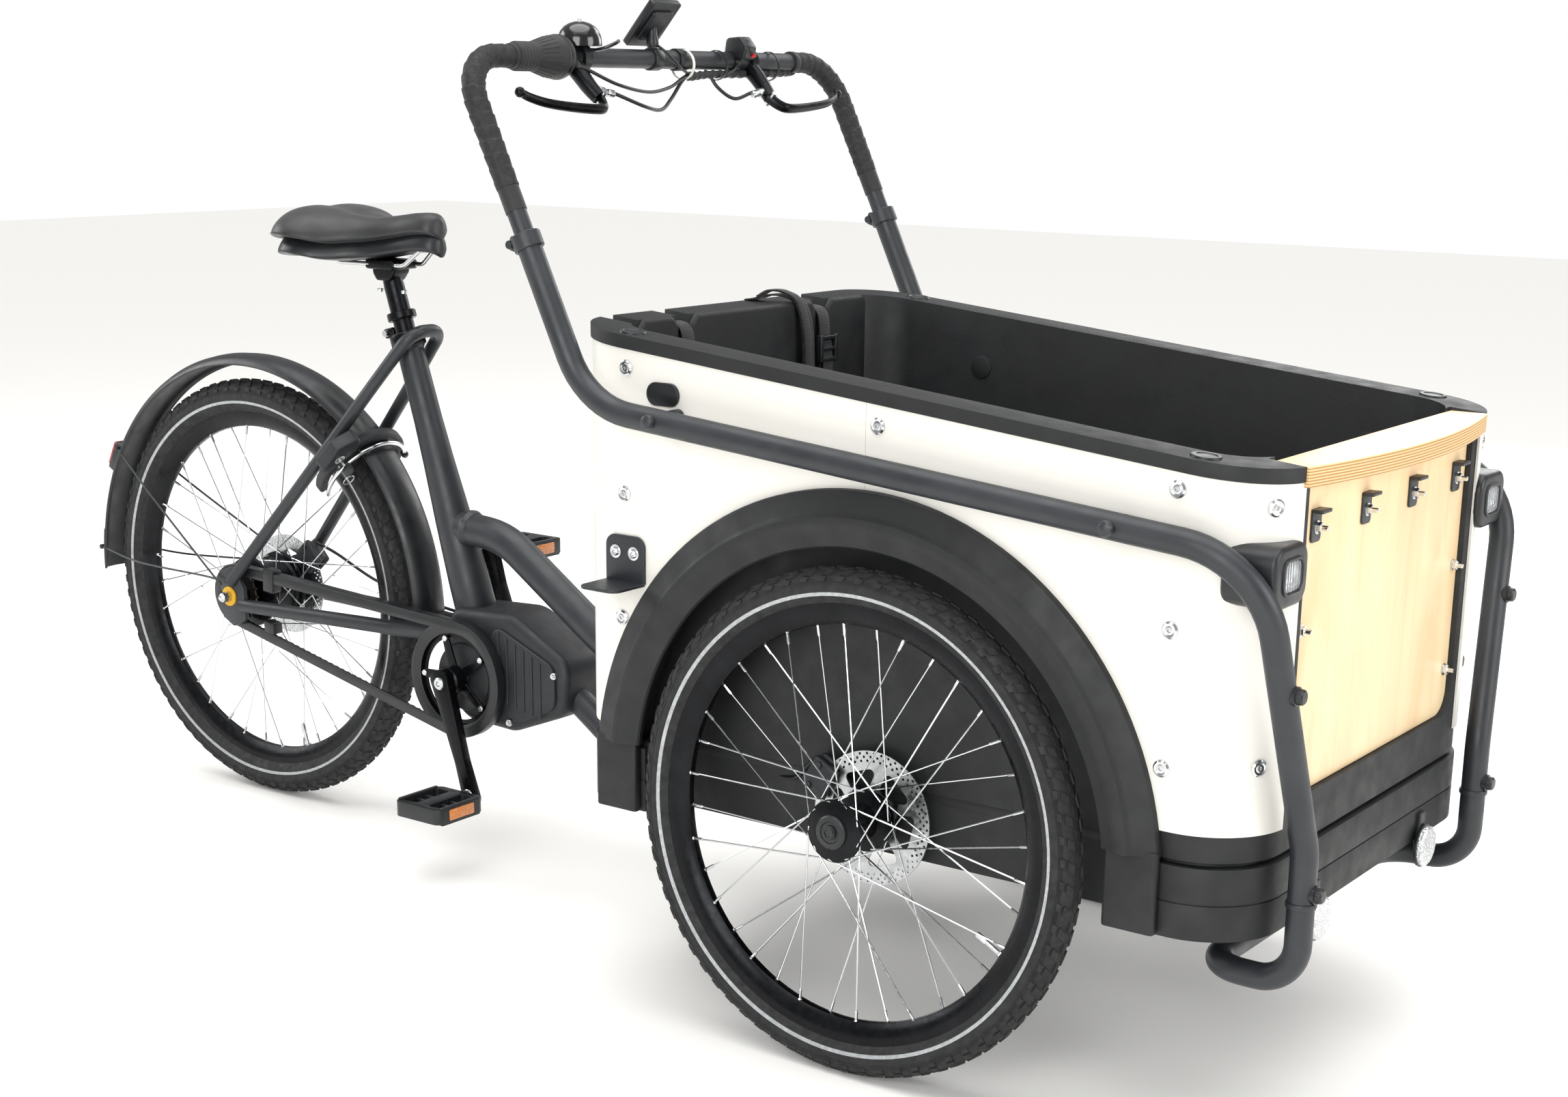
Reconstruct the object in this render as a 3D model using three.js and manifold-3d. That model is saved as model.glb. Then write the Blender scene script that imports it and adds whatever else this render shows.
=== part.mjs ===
// Electric cargo tricycle: one rear drive wheel, two front wheels and a cargo box that
// steers together with them. Millimetres, +X forward, +Y to the rider's left, +Z up, ground at z = 0.
// Inside the bike group x is measured from the rear axle; the group is then centred on its box.

import * as THREE from 'three';
import { mergeVertices } from 'three/addons/utils/BufferGeometryUtils.js';
import Module from 'manifold-3d';

const wasm = await Module();
wasm.setup();

// ---- driving dimensions ----
const WHEELBASE = 1375;
const ORIGIN_X = 766.65;
const FIT = 0.3;                         // gap left between pieces that touch
const DEG = Math.PI / 180;

const FRONT_TYRE = { radius: 300.5, width: 47 };
const REAR_TYRE = { radius: 334.5, width: 55 };
const FRONT_WHEEL_Y = 350;
const CAMBER = 2.5 * DEG;
const FRONT_AXLE_Z = FRONT_TYRE.radius * Math.cos(CAMBER);
const SPOKES = 36;
const WHEEL_SEGMENTS = 36;

const BOX_REAR = 930;
const BOX_FRONT = 1860;
const BOX_HALF_WIDTH = 336;
const BOX_CORNER = 90;
const BOX_INNER_HALF = 286;
const BOX_WELL_HALF = 292;
const BOX_BOTTOM = 337;
const BOX_FLOOR = 346;
const RIM_TOP_REAR = 845;
const RIM_TOP_FRONT = 755;
const RIM_DEPTH = 16;
const PANEL = 3;                         // thickness of the white side panels
const PANEL_SEAM = 1374;
const WELL_RADIUS = 352;
const ARCH_OUTER = 388;
const ARCH_INNER = 322;
const SKIRT_BOTTOM = 250;
const SKIRT_TOP = 331;
const WINDOW_HALF = 228;
const WINDOW_SILL = 398;

const STEER_X = 884;
const HEAD_TUBE = { radius: 28, bottom: 205, top: 330 };
const CRANK_X = 470;
const CRANK_Z = 271;
const CRANK_LENGTH = 170;
const CRANK_ANGLE = -72.5 * DEG;         // right arm, from +X towards +Z
const CHAIN_Y = -55;
const RING_RADIUS = 78;
const SPROCKET_RADIUS = 38;

const SEAT_TUBE_TOP = [331, 0, 763];
const SEAT_TUBE_FOOT = [462, 0, 354];
const SEAT_TUBE_LENGTH = Math.hypot(131, 409);

const SIDE_TUBE_Y = 379;
const SIDE_TUBE_R = 15;
const LEG_SLOPE = 0.48;                  // rearward lean of the bar legs, x per z
const COLLAR = { x: 915, z: 944 };
const BAR_Z = 1152;
const BAR_R = 12;
const BELL_Y = -163;
const PERCH_Y = 184;                     // brake lever perches
const LEG_INSERT = 85;                   // length of bar leg held inside the side tube
const LEG_BORE = 145;                    // depth of the bore it slides in
const BELT_Y = [-250, -148, 150];        // slots in the rear rim for the child belts
const BELT_SLOT_Z = 829;
const BOX_EDGE_R = 60;                   // inner corner radius of the box
const LAMP = { x: 1808, y: 287, z: 648, half: 33, halfHeight: 30 };
const DISPLAY_Y = -18;
const CABLE_R = 2.4;
const LOOM_R = 5;
const LOCK_REACH = 315;                  // lock centre from the wheel's axle
const LOCK_BORE_R = 60.5;
const KEY_Y = -76;
const STUB_R = 7.9;                      // front axle stubs
const PIN_R = 12;                        // steering pin
const PIN_BORE_R = 12.4;
const CRANK_AXLE_R = 12;
const PEDAL_SPINDLE_R = 5;

// ---- materials ----
const finish = (color, roughness, metalness = 0) =>
  new THREE.MeshStandardMaterial({ color, roughness, metalness });
const BLACK_PAINT = finish('#1b1d20', 0.5);
const BLACK_MOULDED = finish('#191b1e', 0.7);
const BLACK_ALLOY = finish('#151617', 0.4, 0.6);
const WHITE_PANEL = finish('#eceae4', 0.45);
const RUBBER = finish('#1c1c1d', 0.9);
const STEEL = finish('#b9bbbd', 0.3, 1);
const BIRCH = finish('#e6c795', 0.6);
const VINYL = finish('#202124', 0.55);

// ---- solids ----
function weld(geometry) {
  const bare = geometry.index ? geometry.toNonIndexed() : geometry.clone();
  bare.deleteAttribute('normal');
  bare.deleteAttribute('uv');
  const merged = mergeVertices(bare, 1e-3);
  const index = merged.index.array;
  const at = merged.attributes.position;
  const kept = [];
  let volume = 0;
  const [a, b, c] = [new THREE.Vector3(), new THREE.Vector3(), new THREE.Vector3()];
  for (let i = 0; i < index.length; i += 3) {
    const [p, q, r] = index.slice(i, i + 3);
    if (p === q || q === r || r === p) continue;
    kept.push(p, q, r);
    a.fromBufferAttribute(at, p);
    b.fromBufferAttribute(at, q);
    c.fromBufferAttribute(at, r);
    volume += a.dot(b.cross(c)) / 6;
  }
  if (volume < 0) {
    for (let i = 0; i < kept.length; i += 3) {
      [kept[i], kept[i + 1]] = [kept[i + 1], kept[i]];
    }
  }
  const geometryOut = new THREE.BufferGeometry();
  geometryOut.setAttribute('position', merged.attributes.position);
  geometryOut.setIndex(kept);
  return geometryOut;
}

function solid(geometry) {
  const g = weld(geometry);
  return new wasm.Manifold(new wasm.Mesh({
    numProp: 3,
    vertProperties: new Float32Array(g.attributes.position.array),
    triVerts: new Uint32Array(g.index.array),
  }));
}

function geometryOf(manifold) {
  const mesh = manifold.getMesh();
  const g = new THREE.BufferGeometry();
  g.setAttribute('position', new THREE.BufferAttribute(mesh.vertProperties, 3));
  g.setIndex(new THREE.BufferAttribute(mesh.triVerts, 1));
  g.computeVertexNormals();
  return g;
}

const cut = (base, ...tools) => geometryOf(tools.reduce((s, t) => s.subtract(solid(t)), solid(base)));
const join = (base, ...more) => geometryOf(more.reduce((s, t) => s.add(solid(t)), solid(base)));
const overlap = (base, tool) => geometryOf(solid(base).intersect(solid(tool)));

function block(x0, x1, y0, y1, z0, z1) {
  const g = new THREE.BoxGeometry(x1 - x0, y1 - y0, z1 - z0);
  return g.translate((x0 + x1) / 2, (y0 + y1) / 2, (z0 + z1) / 2);
}

const UP = new THREE.Vector3(0, 1, 0);   // the axis that cylinders and lathes are made round

// A cylinder or cone between two points.
function rod(from, to, r0, r1 = r0, sides = 16) {
  const a = new THREE.Vector3(...from);
  const b = new THREE.Vector3(...to);
  const g = new THREE.CylinderGeometry(r1, r0, a.distanceTo(b), sides);
  g.translate(0, a.distanceTo(b) / 2, 0);
  const turn = new THREE.Quaternion().setFromUnitVectors(UP, b.clone().sub(a).normalize());
  return g.applyQuaternion(turn).translate(...from);
}

// A profile of [radius, distance] pairs turned about the line from -> to.
function turned(profile, from = [0, 0, 0], to = [0, 1, 0], segments = WHEEL_SEGMENTS) {
  const points = profile.map(([r, d]) => new THREE.Vector2(r, d));
  const a = new THREE.Vector3(...from);
  const direction = new THREE.Vector3(...to).sub(a).normalize();
  const turn = new THREE.Quaternion().setFromUnitVectors(UP, direction);
  const g = new THREE.LatheGeometry(points, segments);
  return weld(g.applyQuaternion(turn).translate(...from));
}

// Turned ring whose section is closed on itself.
const ring = (profile, from, to, segments) => turned([...profile, profile[0]], from, to, segments);

function flat(shape, z0, z1) {
  const options = { depth: z1 - z0, bevelEnabled: false, curveSegments: 6 };
  return new THREE.ExtrudeGeometry(shape, options).translate(0, 0, z0);
}

// A shape drawn in (x, z), spanning y0..y1.
const upright = (shape, y0, y1) => flat(shape, 0, y1 - y0).rotateX(Math.PI / 2).translate(0, y1, 0);

// A shape drawn in (y, z), spanning x0..x1.
function facing(shape, x0, x1) {
  const basis = new THREE.Matrix4().makeBasis(
    new THREE.Vector3(0, 1, 0), new THREE.Vector3(0, 0, 1), new THREE.Vector3(1, 0, 0));
  return flat(shape, x0, x1).applyMatrix4(basis);
}

const points2 = (points) => points.map(([x, y]) => new THREE.Vector2(x, y));
const polygon = (points) => new THREE.Shape(points2(points));

// A closed outline of corner points, each rounded with its radius.
function rounded(corners, radius, steps = 5) {
  const out = [];
  const n = corners.length;
  for (let i = 0; i < n; i++) {
    const p = new THREE.Vector2(...corners[i]);
    const a = new THREE.Vector2(...corners[(i + n - 1) % n]).sub(p).normalize();
    const b = new THREE.Vector2(...corners[(i + 1) % n]).sub(p).normalize();
    const half = Math.acos(a.dot(b)) / 2;
    const r = Array.isArray(radius) ? radius[i] : radius;
    const centre = p.clone().add(a.clone().add(b).normalize().multiplyScalar(r / Math.sin(half)));
    const from = p.clone().addScaledVector(a, r / Math.tan(half)).sub(centre);
    const to = p.clone().addScaledVector(b, r / Math.tan(half)).sub(centre);
    const sweep = Math.atan2(from.cross(to), from.dot(to));
    for (let k = 0; k <= (r > 0 ? steps : 0); k++) {
      const turn = sweep * k / steps;
      out.push([
        centre.x + from.x * Math.cos(turn) - from.y * Math.sin(turn),
        centre.y + from.x * Math.sin(turn) + from.y * Math.cos(turn),
      ]);
    }
  }
  return polygon(out);
}

// A path through fixed stations, so that a tube has rings only where it needs them.
class Stations extends THREE.Curve {
  constructor(points) {
    super();
    this.points = points;
  }
  getPoint(t, target = new THREE.Vector3()) {
    const last = this.points.length - 1;
    const i = Math.min(Math.floor(t * last + 1e-9), last - 1);
    return target.lerpVectors(this.points[i], this.points[i + 1], t * last - i);
  }
  getPointAt(u, target) {
    return this.getPoint(u, target);
  }
  getTangentAt(u, target = new THREE.Vector3()) {
    const last = this.points.length - 1;
    const i = Math.round(u * last);
    const before = this.points[Math.max(i - 1, 0)];
    const here = this.points[i];
    const after = this.points[Math.min(i + 1, last)];
    const back = here.clone().sub(before).normalize();
    return target.copy(after).sub(here).normalize().add(back).normalize();
  }
}

// Straight runs between corners, with an arc of the bend radius at each corner.
function bentPath(corners, bend, arcSteps = 4) {
  const p = corners.map((c) => new THREE.Vector3(...c));
  const out = [p[0]];
  for (let i = 1; i < p.length - 1; i++) {
    const a = p[i - 1].clone().sub(p[i]).normalize();
    const b = p[i + 1].clone().sub(p[i]).normalize();
    const half = a.angleTo(b) / 2;
    const r = Array.isArray(bend) ? bend[i - 1] : bend;
    const centre = p[i].clone().addScaledVector(a.clone().add(b).normalize(), r / Math.sin(half));
    const from = p[i].clone().addScaledVector(a, r / Math.tan(half)).sub(centre);
    const to = p[i].clone().addScaledVector(b, r / Math.tan(half)).sub(centre);
    const sweep = from.angleTo(to);
    for (let k = 0; k <= arcSteps; k++) {
      const t = k / arcSteps;
      const point = from.clone().multiplyScalar(Math.sin((1 - t) * sweep) / Math.sin(sweep));
      out.push(point.addScaledVector(to, Math.sin(t * sweep) / Math.sin(sweep)).add(centre));
    }
  }
  out.push(p[p.length - 1]);
  return out;
}

function circlePoints(radius, sides, phase = 0) {
  return Array.from({ length: sides }, (_, i) => {
    const turn = phase + i * 2 * Math.PI / sides;
    return [radius * Math.cos(turn), radius * Math.sin(turn)];
  });
}

function tube(corners, radius, bend, sides = 12, arcSteps = 4) {
  const path = new Stations(bentPath(corners, bend, arcSteps));
  return new THREE.ExtrudeGeometry(polygon(circlePoints(radius, sides)), {
    extrudePath: path, steps: path.points.length - 1, bevelEnabled: false,
  });
}

const mirrored = (corners) => corners.map(([x, y, z]) => [x, -y, z]);

function piece(name, geometry, material) {
  const shaped = weld(geometry);
  shaped.computeVertexNormals();
  const mesh = new THREE.Mesh(shaped, material);
  mesh.name = name;
  return mesh;
}

// ---- wheels ----
// A wheel is made around the Y axis at the origin, with the outer face towards +Y.
function tyre(name, { radius, width }) {
  const w = width / 2;
  const middle = radius - w;
  const half = [[radius, 0], [radius - w * 0.35, w * 0.75], [middle, w], [radius - width, w * 0.6]];
  const left = half.slice(1).map(([r, y]) => [r, -y]).reverse();
  return piece(name, ring([...left, ...half]), RUBBER);
}

function spokedRim(name, { radius, width }, flangeRadius, flangeOut, flangeIn, phase) {
  const seat = radius - width - FIT;
  const rim = ring([[seat - 18, -9], [seat, -14], [seat, 14], [seat - 18, 9]]);
  const spokes = [];
  for (let i = 0; i < SPOKES; i++) {
    const outer = i % 2 === 0;
    const lean = i % 4 < 2 ? 1 : -1;
    const rimTurn = phase + i * 2 * Math.PI / SPOKES;
    const hubTurn = rimTurn + lean * 74 * DEG;
    const flange = (outer ? flangeOut : flangeIn) + lean * 2;
    const reach = seat - 12;
    spokes.push(rod(
      [flangeRadius * Math.cos(hubTurn), flange, flangeRadius * Math.sin(hubTurn)],
      [reach * Math.cos(rimTurn), outer ? 2 : -2, reach * Math.sin(rimTurn)], 1.2, 1.2, 3));
  }
  return piece(name, join(rim, ...spokes), BLACK_ALLOY);
}

// Brake disc with six windows between its track and its centre.
function rotor(name, y) {
  const disc = polygon(circlePoints(80, 24));
  for (const turn of circlePoints(1, 6).map(([c, s]) => Math.atan2(s, c))) {
    const corner = (r, spread) => new THREE.Vector2(r * Math.cos(turn + spread), r * Math.sin(turn + spread));
    disc.holes.push(new THREE.Path([corner(30, -0.32), corner(58, -0.4), corner(58, 0.4), corner(30, 0.32)]));
  }
  disc.holes.push(new THREE.Path(points2(circlePoints(12, 12))));
  return piece(name, upright(disc, y, y + 2), STEEL);
}

function frontWheel(side, suffix) {
  const wheel = new THREE.Group();
  const hub = turned([
    [0, 48], [17, 48], [21, 44], [21, 38], [31, 37], [31, 33], [20, 30], [20, -22],
    [31, -24], [31, -28], [22, -30], [22, -39.7], [8.3, -39.7], [8.3, 40], [0, 40],
  ], undefined, undefined, 16);
  wheel.add(
    tyre(`front_tyre_${suffix}`, FRONT_TYRE),
    spokedRim(`front_rim_${suffix}`, FRONT_TYRE, 32.5, 35, -26, 5 * DEG),
    piece(`front_hub_${suffix}`, hub, BLACK_ALLOY),
    rotor(`front_rotor_${suffix}`, -42),
  );
  // The outer face turns towards -Y on the right-hand wheel; the wheel tops lean inwards.
  wheel.rotation.set(side * CAMBER, 0, side < 0 ? Math.PI : 0, 'XYZ');
  wheel.position.set(WHEELBASE, side * FRONT_WHEEL_Y, FRONT_AXLE_Z);
  return wheel;
}

function rearWheel() {
  const wheel = new THREE.Group();
  const hub = ring([
    [5.6, -46], [24, -46], [24, -34], [50, -32], [42, -24], [42, 24], [50, 32], [26, 36],
    [26, 45.7], [5.6, 45.7],
  ], undefined, undefined, 20);
  wheel.add(
    tyre('rear_tyre', REAR_TYRE),
    spokedRim('rear_rim', REAR_TYRE, 52, 30, -30, 5 * DEG),
    piece('rear_hub', hub, BLACK_ALLOY),
    rotor('rear_rotor', 46),
  );
  wheel.position.set(0, 0, REAR_TYRE.radius);
  return wheel;
}

// ---- rear frame ----
function seatTubeShape(grow = 0, bored = true) {
  const taper = [[31, -grow], [27, 150], [21, 300], [20, SEAT_TUBE_LENGTH]];
  const outer = [[0, -grow], ...taper.map(([r, d]) => [r + grow, d])];
  const bore = [[15.4, SEAT_TUBE_LENGTH], [15.4, 130], [0, 130]];
  return turned([...outer, ...(bored ? bore : [[0, SEAT_TUBE_LENGTH]])], SEAT_TUBE_FOOT, SEAT_TUBE_TOP, 20);
}

const upperTubePath = [[419, 0, 487], [520, 0, 480], [720, 0, 345], [STEER_X, 0, 292]];
const lowerTubePath = [[610, 0, 290], [735, 0, 205], [STEER_X, 0, 232]];
const DROPOUT_Y = 72;

const STEER_FOOT = [STEER_X, 0, 0];
const STEER_UP = [STEER_X, 0, 1];

function headTubeShape() {
  const { radius, bottom, top } = HEAD_TUBE;
  const wall = [[PIN_BORE_R, bottom], [radius, bottom], [radius, top], [PIN_BORE_R, top]];
  return ring(wall, STEER_FOOT, STEER_UP, 24);
}

// The head tube's outside, filled, that the main tubes are notched round.
function headTubeCutter() {
  const { bottom, top } = HEAD_TUBE;
  const r = HEAD_TUBE.radius + FIT;
  return turned([[0, bottom], [r, bottom], [r, top], [0, top]], STEER_FOOT, STEER_UP, 24);
}

function motorShape() {
  const outline = rounded([
    [432, 318], [440, 372], [560, 378], [672, 318], [662, 240], [560, 200], [448, 205],
  ], [20, 24, 60, 34, 30, 40, 45], 3);
  const body = upright(outline, -41, 50);
  return cut(
    body,
    seatTubeShape(FIT, false),
    rod([CRANK_X, -90, CRANK_Z], [CRANK_X, 90, CRANK_Z], 12.4),
  );
}

function chainOutline(ringR, sprocketR, steps = 14) {
  // Belt around two circles: the sprocket at the origin and the chainring ahead of it.
  const dx = CRANK_X;
  const dz = CRANK_Z - REAR_TYRE.radius;
  const span = Math.hypot(dx, dz);
  const heading = Math.atan2(dz, dx);
  const lean = Math.acos((sprocketR - ringR) / span);
  const points = [];
  for (let k = 0; k <= steps; k++) {
    const turn = heading - lean + 2 * lean * k / steps;
    points.push([dx + ringR * Math.cos(turn), dz + ringR * Math.sin(turn)]);
  }
  const rest = Math.round(steps * 0.7);
  for (let k = 0; k <= rest; k++) {
    const turn = heading + lean + (2 * Math.PI - 2 * lean) * k / rest;
    points.push([sprocketR * Math.cos(turn), sprocketR * Math.sin(turn)]);
  }
  return points;
}

function belt(outerRing, outerSprocket, innerRing, innerSprocket, y0, y1) {
  const shape = polygon(chainOutline(outerRing, outerSprocket));
  shape.holes.push(new THREE.Path(points2(chainOutline(innerRing, innerSprocket))));
  return upright(shape, y0, y1).translate(0, 0, REAR_TYRE.radius);
}

function chainCaseShape() {
  const shell = belt(
    RING_RADIUS + 10, SPROCKET_RADIUS + 11, RING_RADIUS - 6, SPROCKET_RADIUS - 5, CHAIN_Y - 10, CHAIN_Y + 8);
  const channel = belt(
    RING_RADIUS + 7, SPROCKET_RADIUS + 8, RING_RADIUS - 9, SPROCKET_RADIUS - 8, CHAIN_Y - 7, CHAIN_Y + 9);
  return cut(shell, channel);
}

function mudguardShape() {
  const hoop = ring([
    [358, -31], [368, -16], [368, 16], [358, 31], [361, 31], [371.5, 17], [371.5, -17], [361, -31],
  ], [0, 0, REAR_TYRE.radius], [0, 1, REAR_TYRE.radius], 40);
  const keep = upright(polygon([[0, 334], [420, 350], [420, 800], [-420, 800], [-420, 346]]), -40, 40);
  return overlap(hoop, keep);
}

function lockFrame() {
  // Frame lock directions: out along the seat stays, and forward across them.
  const out = new THREE.Vector3(0.664, 0, 0.7477).normalize();
  const ahead = new THREE.Vector3(out.z, 0, -out.x);
  const centre = new THREE.Vector3(0, 0, REAR_TYRE.radius).addScaledVector(out, LOCK_REACH);
  return { out, ahead, centre };
}

// A shape drawn across the wheel (y, out) at the lock, spanning a..b forward of the stays.
function atLock(shape, a, b) {
  const { out, ahead, centre } = lockFrame();
  const basis = new THREE.Matrix4().makeBasis(new THREE.Vector3(0, -1, 0), out, ahead.clone());
  const g = flat(shape, a, b).applyMatrix4(basis);
  return g.translate(centre.x, centre.y, centre.z);
}

function arcBand(r0, r1, from, to, steps = 16) {
  const points = [];
  for (let k = 0; k <= steps; k++) {
    const turn = from + (to - from) * k / steps;
    points.push([r1 * Math.cos(turn), r1 * Math.sin(turn)]);
  }
  for (let k = steps; k >= 0; k--) {
    const turn = from + (to - from) * k / steps;
    points.push([r0 * Math.cos(turn), r0 * Math.sin(turn)]);
  }
  return polygon(points);
}

function rearFrame() {
  const group = new THREE.Group();
  const seatTubeCutter = seatTubeShape(FIT, false);
  const headCutter = headTubeCutter();
  const motor = motorShape();

  group.add(piece('seat_tube', seatTubeShape(), BLACK_PAINT));
  group.add(piece('head_tube', headTubeShape(), BLACK_PAINT));
  group.add(piece('motor_housing', motor, BLACK_MOULDED));

  const upper = cut(tube(upperTubePath, 24, [130, 200], 12, 3), seatTubeCutter, headCutter);
  group.add(piece('upper_main_tube', largestBody(upper), BLACK_PAINT));

  const motorCutter = upright(rounded([
    [431, 318], [440, 373], [560, 379], [672.5, 318], [662.5, 240], [560, 199], [448, 204],
  ], [20, 24, 60, 34, 30, 40, 45], 3), -41.4, 50.4);
  const lower = cut(tube(lowerTubePath, 20, [70], 12, 4), motorCutter, headCutter);
  group.add(piece('lower_main_tube', largestBody(lower), BLACK_PAINT));

  const stay = [[6, -DROPOUT_Y - 6, 358], [300, -42, 686], [374, -31.5, 769]];
  const stays = tube([...stay, ...mirrored(stay).reverse()], 9.5, [60, 29, 29, 60], 8, 4);
  group.add(piece('seat_stays', cut(stays, seatTubeCutter), BLACK_PAINT));

  for (const [side, suffix] of [[-1, 'right'], [1, 'left']]) {
    const line = [
      [18, side * DROPOUT_Y, 322], [330, side * 47, 326], [400, side * 31, 328], [431, side * 31, 329],
    ];
    const run = tube(line, 10.5, [60, 60], 8, 2);
    const dropout = upright(rounded([[-20, 300], [-22, 372], [10, 384], [32, 350], [34, 300], [6, 286]], 10, 2),
      side * DROPOUT_Y - 4, side * DROPOUT_Y + 4);
    const slot = rod([0, side * 80, REAR_TYRE.radius], [0, side * 56, REAR_TYRE.radius], 5.3, 5.3, 12);
    const stayCutter = tube(side < 0 ? stay : mirrored(stay), 9.9, [60], 8, 4);
    const caseCutter = block(-60, 60, CHAIN_Y - 10.3, CHAIN_Y + 20, 200, 420);
    const cutters = side < 0 ? [caseCutter] : [];
    const stayShape = cut(join(run, dropout), slot, stayCutter, motorCutter, ...cutters);
    group.add(piece(`chainstay_${suffix}`, largestBody(stayShape), BLACK_PAINT));
  }

  const axle = turned([
    [0, -88], [10, -88], [10, -76.5], [5, -76.5], [5, 76.5], [10, 76.5], [10, 88], [0, 88],
  ], [0, 0, REAR_TYRE.radius], [0, 1, REAR_TYRE.radius], 12);
  group.add(piece('rear_axle', axle, STEEL));

  group.add(piece('chain_case', chainCaseShape(), BLACK_MOULDED));
  const chain = belt(
    RING_RADIUS + 5, SPROCKET_RADIUS + 5.5, RING_RADIUS + 1.5, SPROCKET_RADIUS + 1.5, CHAIN_Y - 4, CHAIN_Y + 4);
  group.add(piece('drive_chain', chain, STEEL));
  group.add(piece('rear_mudguard', mudguardShape(), BLACK_MOULDED));

  const horseshoe = atLock(arcBand(LOCK_BORE_R, 75, -38 * DEG, 218 * DEG), 11, 29);
  const lockBody = atLock(rounded([[82, 8], [98, 16], [96, 60], [56, 88], [50, 52]], 8, 2), 11, 34);
  const lockBore = atLock(polygon(circlePoints(LOCK_BORE_R, 24)), 5, 40);
  group.add(piece('frame_lock', join(horseshoe, cut(lockBody, lockBore)), BLACK_MOULDED));
  return group;
}

// Keeps the biggest of the bodies that a cut leaves.
function largestBody(geometry) {
  const parts = solid(geometry).decompose();
  parts.sort((a, b) => b.volume() - a.volume());
  return geometryOf(parts[0]);
}

// ---- moving pieces of the rear ----
function lockPieces() {
  const group = new THREE.Group();
  group.add(piece('lock_shackle', atLock(arcBand(64, 71, -37 * DEG, 150 * DEG, 14), 34.4, 41), STEEL));
  const { out, ahead, centre } = lockFrame();
  const socket = centre.clone().addScaledVector(ahead, 34.3).addScaledVector(out, 40).setY(KEY_Y);
  const tip = socket.clone().addScaledVector(ahead, 12);
  const bow = socket.clone().addScaledVector(ahead, 32);
  const shaft = rod(socket.toArray(), tip.toArray(), 2.2, 2.2, 8);
  const handle = rod(tip.toArray(), bow.toArray(), 9, 9, 12);
  handle.translate(0, -KEY_Y, 0).scale(1, 0.3, 1).translate(0, KEY_Y, 0);
  group.add(piece('lock_key', join(shaft, handle), STEEL));
  return group;
}

function seat() {
  const group = new THREE.Group();
  const axis = new THREE.Vector3(-131, 0, 409).normalize();
  const at = (s) => new THREE.Vector3(...SEAT_TUBE_FOOT).addScaledVector(axis, s).toArray();
  const post = rod(at(SEAT_TUBE_LENGTH - 170), at(SEAT_TUBE_LENGTH + 84), 15, 15, 20);
  const head = block(282, 330, -24, 24, 842, 868);
  const railLine = (s) => [[210, s * 32, 880], [232, s * 24, 861], [350, s * 20, 861], [372, s * 14, 884]];
  const rails = [-1, 1].map((s) => tube(railLine(s), 3.5, 14, 6, 2));
  group.add(piece('seat_post', join(post, head, ...rails), BLACK_ALLOY));
  const plan = new THREE.Shape();
  plan.moveTo(146, 0);
  plan.bezierCurveTo(140, 60, 150, 122, 196, 116);
  plan.bezierCurveTo(262, 108, 272, 40, 340, 27);
  plan.bezierCurveTo(380, 22, 410, 20, 410, 0);
  plan.bezierCurveTo(410, -20, 380, -22, 340, -27);
  plan.bezierCurveTo(272, -40, 262, -108, 196, -116);
  plan.bezierCurveTo(150, -122, 140, -60, 146, 0);
  const pad = new THREE.ExtrudeGeometry(plan, {
    depth: 26, bevelEnabled: true, bevelThickness: 10, bevelSize: 10, bevelOffset: -10,
    bevelSegments: 2, curveSegments: 4,
  }).translate(0, 0, 897);
  group.add(piece('saddle', pad, VINYL));
  return group;
}

const crankEnd = (turn) => [CRANK_X + CRANK_LENGTH * Math.cos(turn), CRANK_Z + CRANK_LENGTH * Math.sin(turn)];

function armShape(turn, y0, y1, boreR) {
  const along = [Math.cos(turn), Math.sin(turn)];
  const across = [-along[1], along[0]];
  const at = (l, w) => [CRANK_X + along[0] * l + across[0] * w, CRANK_Z + along[1] * l + across[1] * w];
  const corners = [at(186, -13), at(186, 13), at(-20, 19), at(-20, -19)];
  const outline = rounded(corners, [12, 12, 17, 17], 3);
  const blank = upright(outline, y0, y1);
  const [ex, ez] = crankEnd(turn);
  return cut(
    blank,
    rod([ex, y0 - 5, ez], [ex, y1 + 5, ez], 5.3, 5.3, 12),
    ...(boreR ? [rod([CRANK_X, y0 - 5, CRANK_Z], [CRANK_X, y1 + 5, CRANK_Z], boreR)] : []),
  );
}

function cranks() {
  const group = new THREE.Group();
  const chainring = polygon(circlePoints(RING_RADIUS, 32));
  for (let i = 0; i < 5; i++) {
    const turn = i * 72 * DEG;
    const corner = (r, spread) => new THREE.Vector2(r * Math.cos(turn + spread), r * Math.sin(turn + spread));
    const window = [[30, -0.36], [60, -0.42], [63, 0], [60, 0.42], [30, 0.36]];
    chainring.holes.push(new THREE.Path(window.map(([r, spread]) => corner(r, spread))));
  }
  chainring.holes.push(new THREE.Path(points2(circlePoints(13, 12))));
  const plate = upright(chainring, CHAIN_Y - 1.5, CHAIN_Y + 1.5).translate(CRANK_X, 0, CRANK_Z);
  group.add(piece('chainring', plate, BLACK_ALLOY));
  group.add(piece('crank_right', armShape(CRANK_ANGLE, -94, -80, 12.4), BLACK_ALLOY));
  const axle = rod([CRANK_X, -96, CRANK_Z], [CRANK_X, 74, CRANK_Z], CRANK_AXLE_R, CRANK_AXLE_R, 16);
  group.add(piece('crank_left', join(armShape(CRANK_ANGLE + Math.PI, 70, 84, 0), axle), BLACK_ALLOY));
  return group;
}

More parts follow.
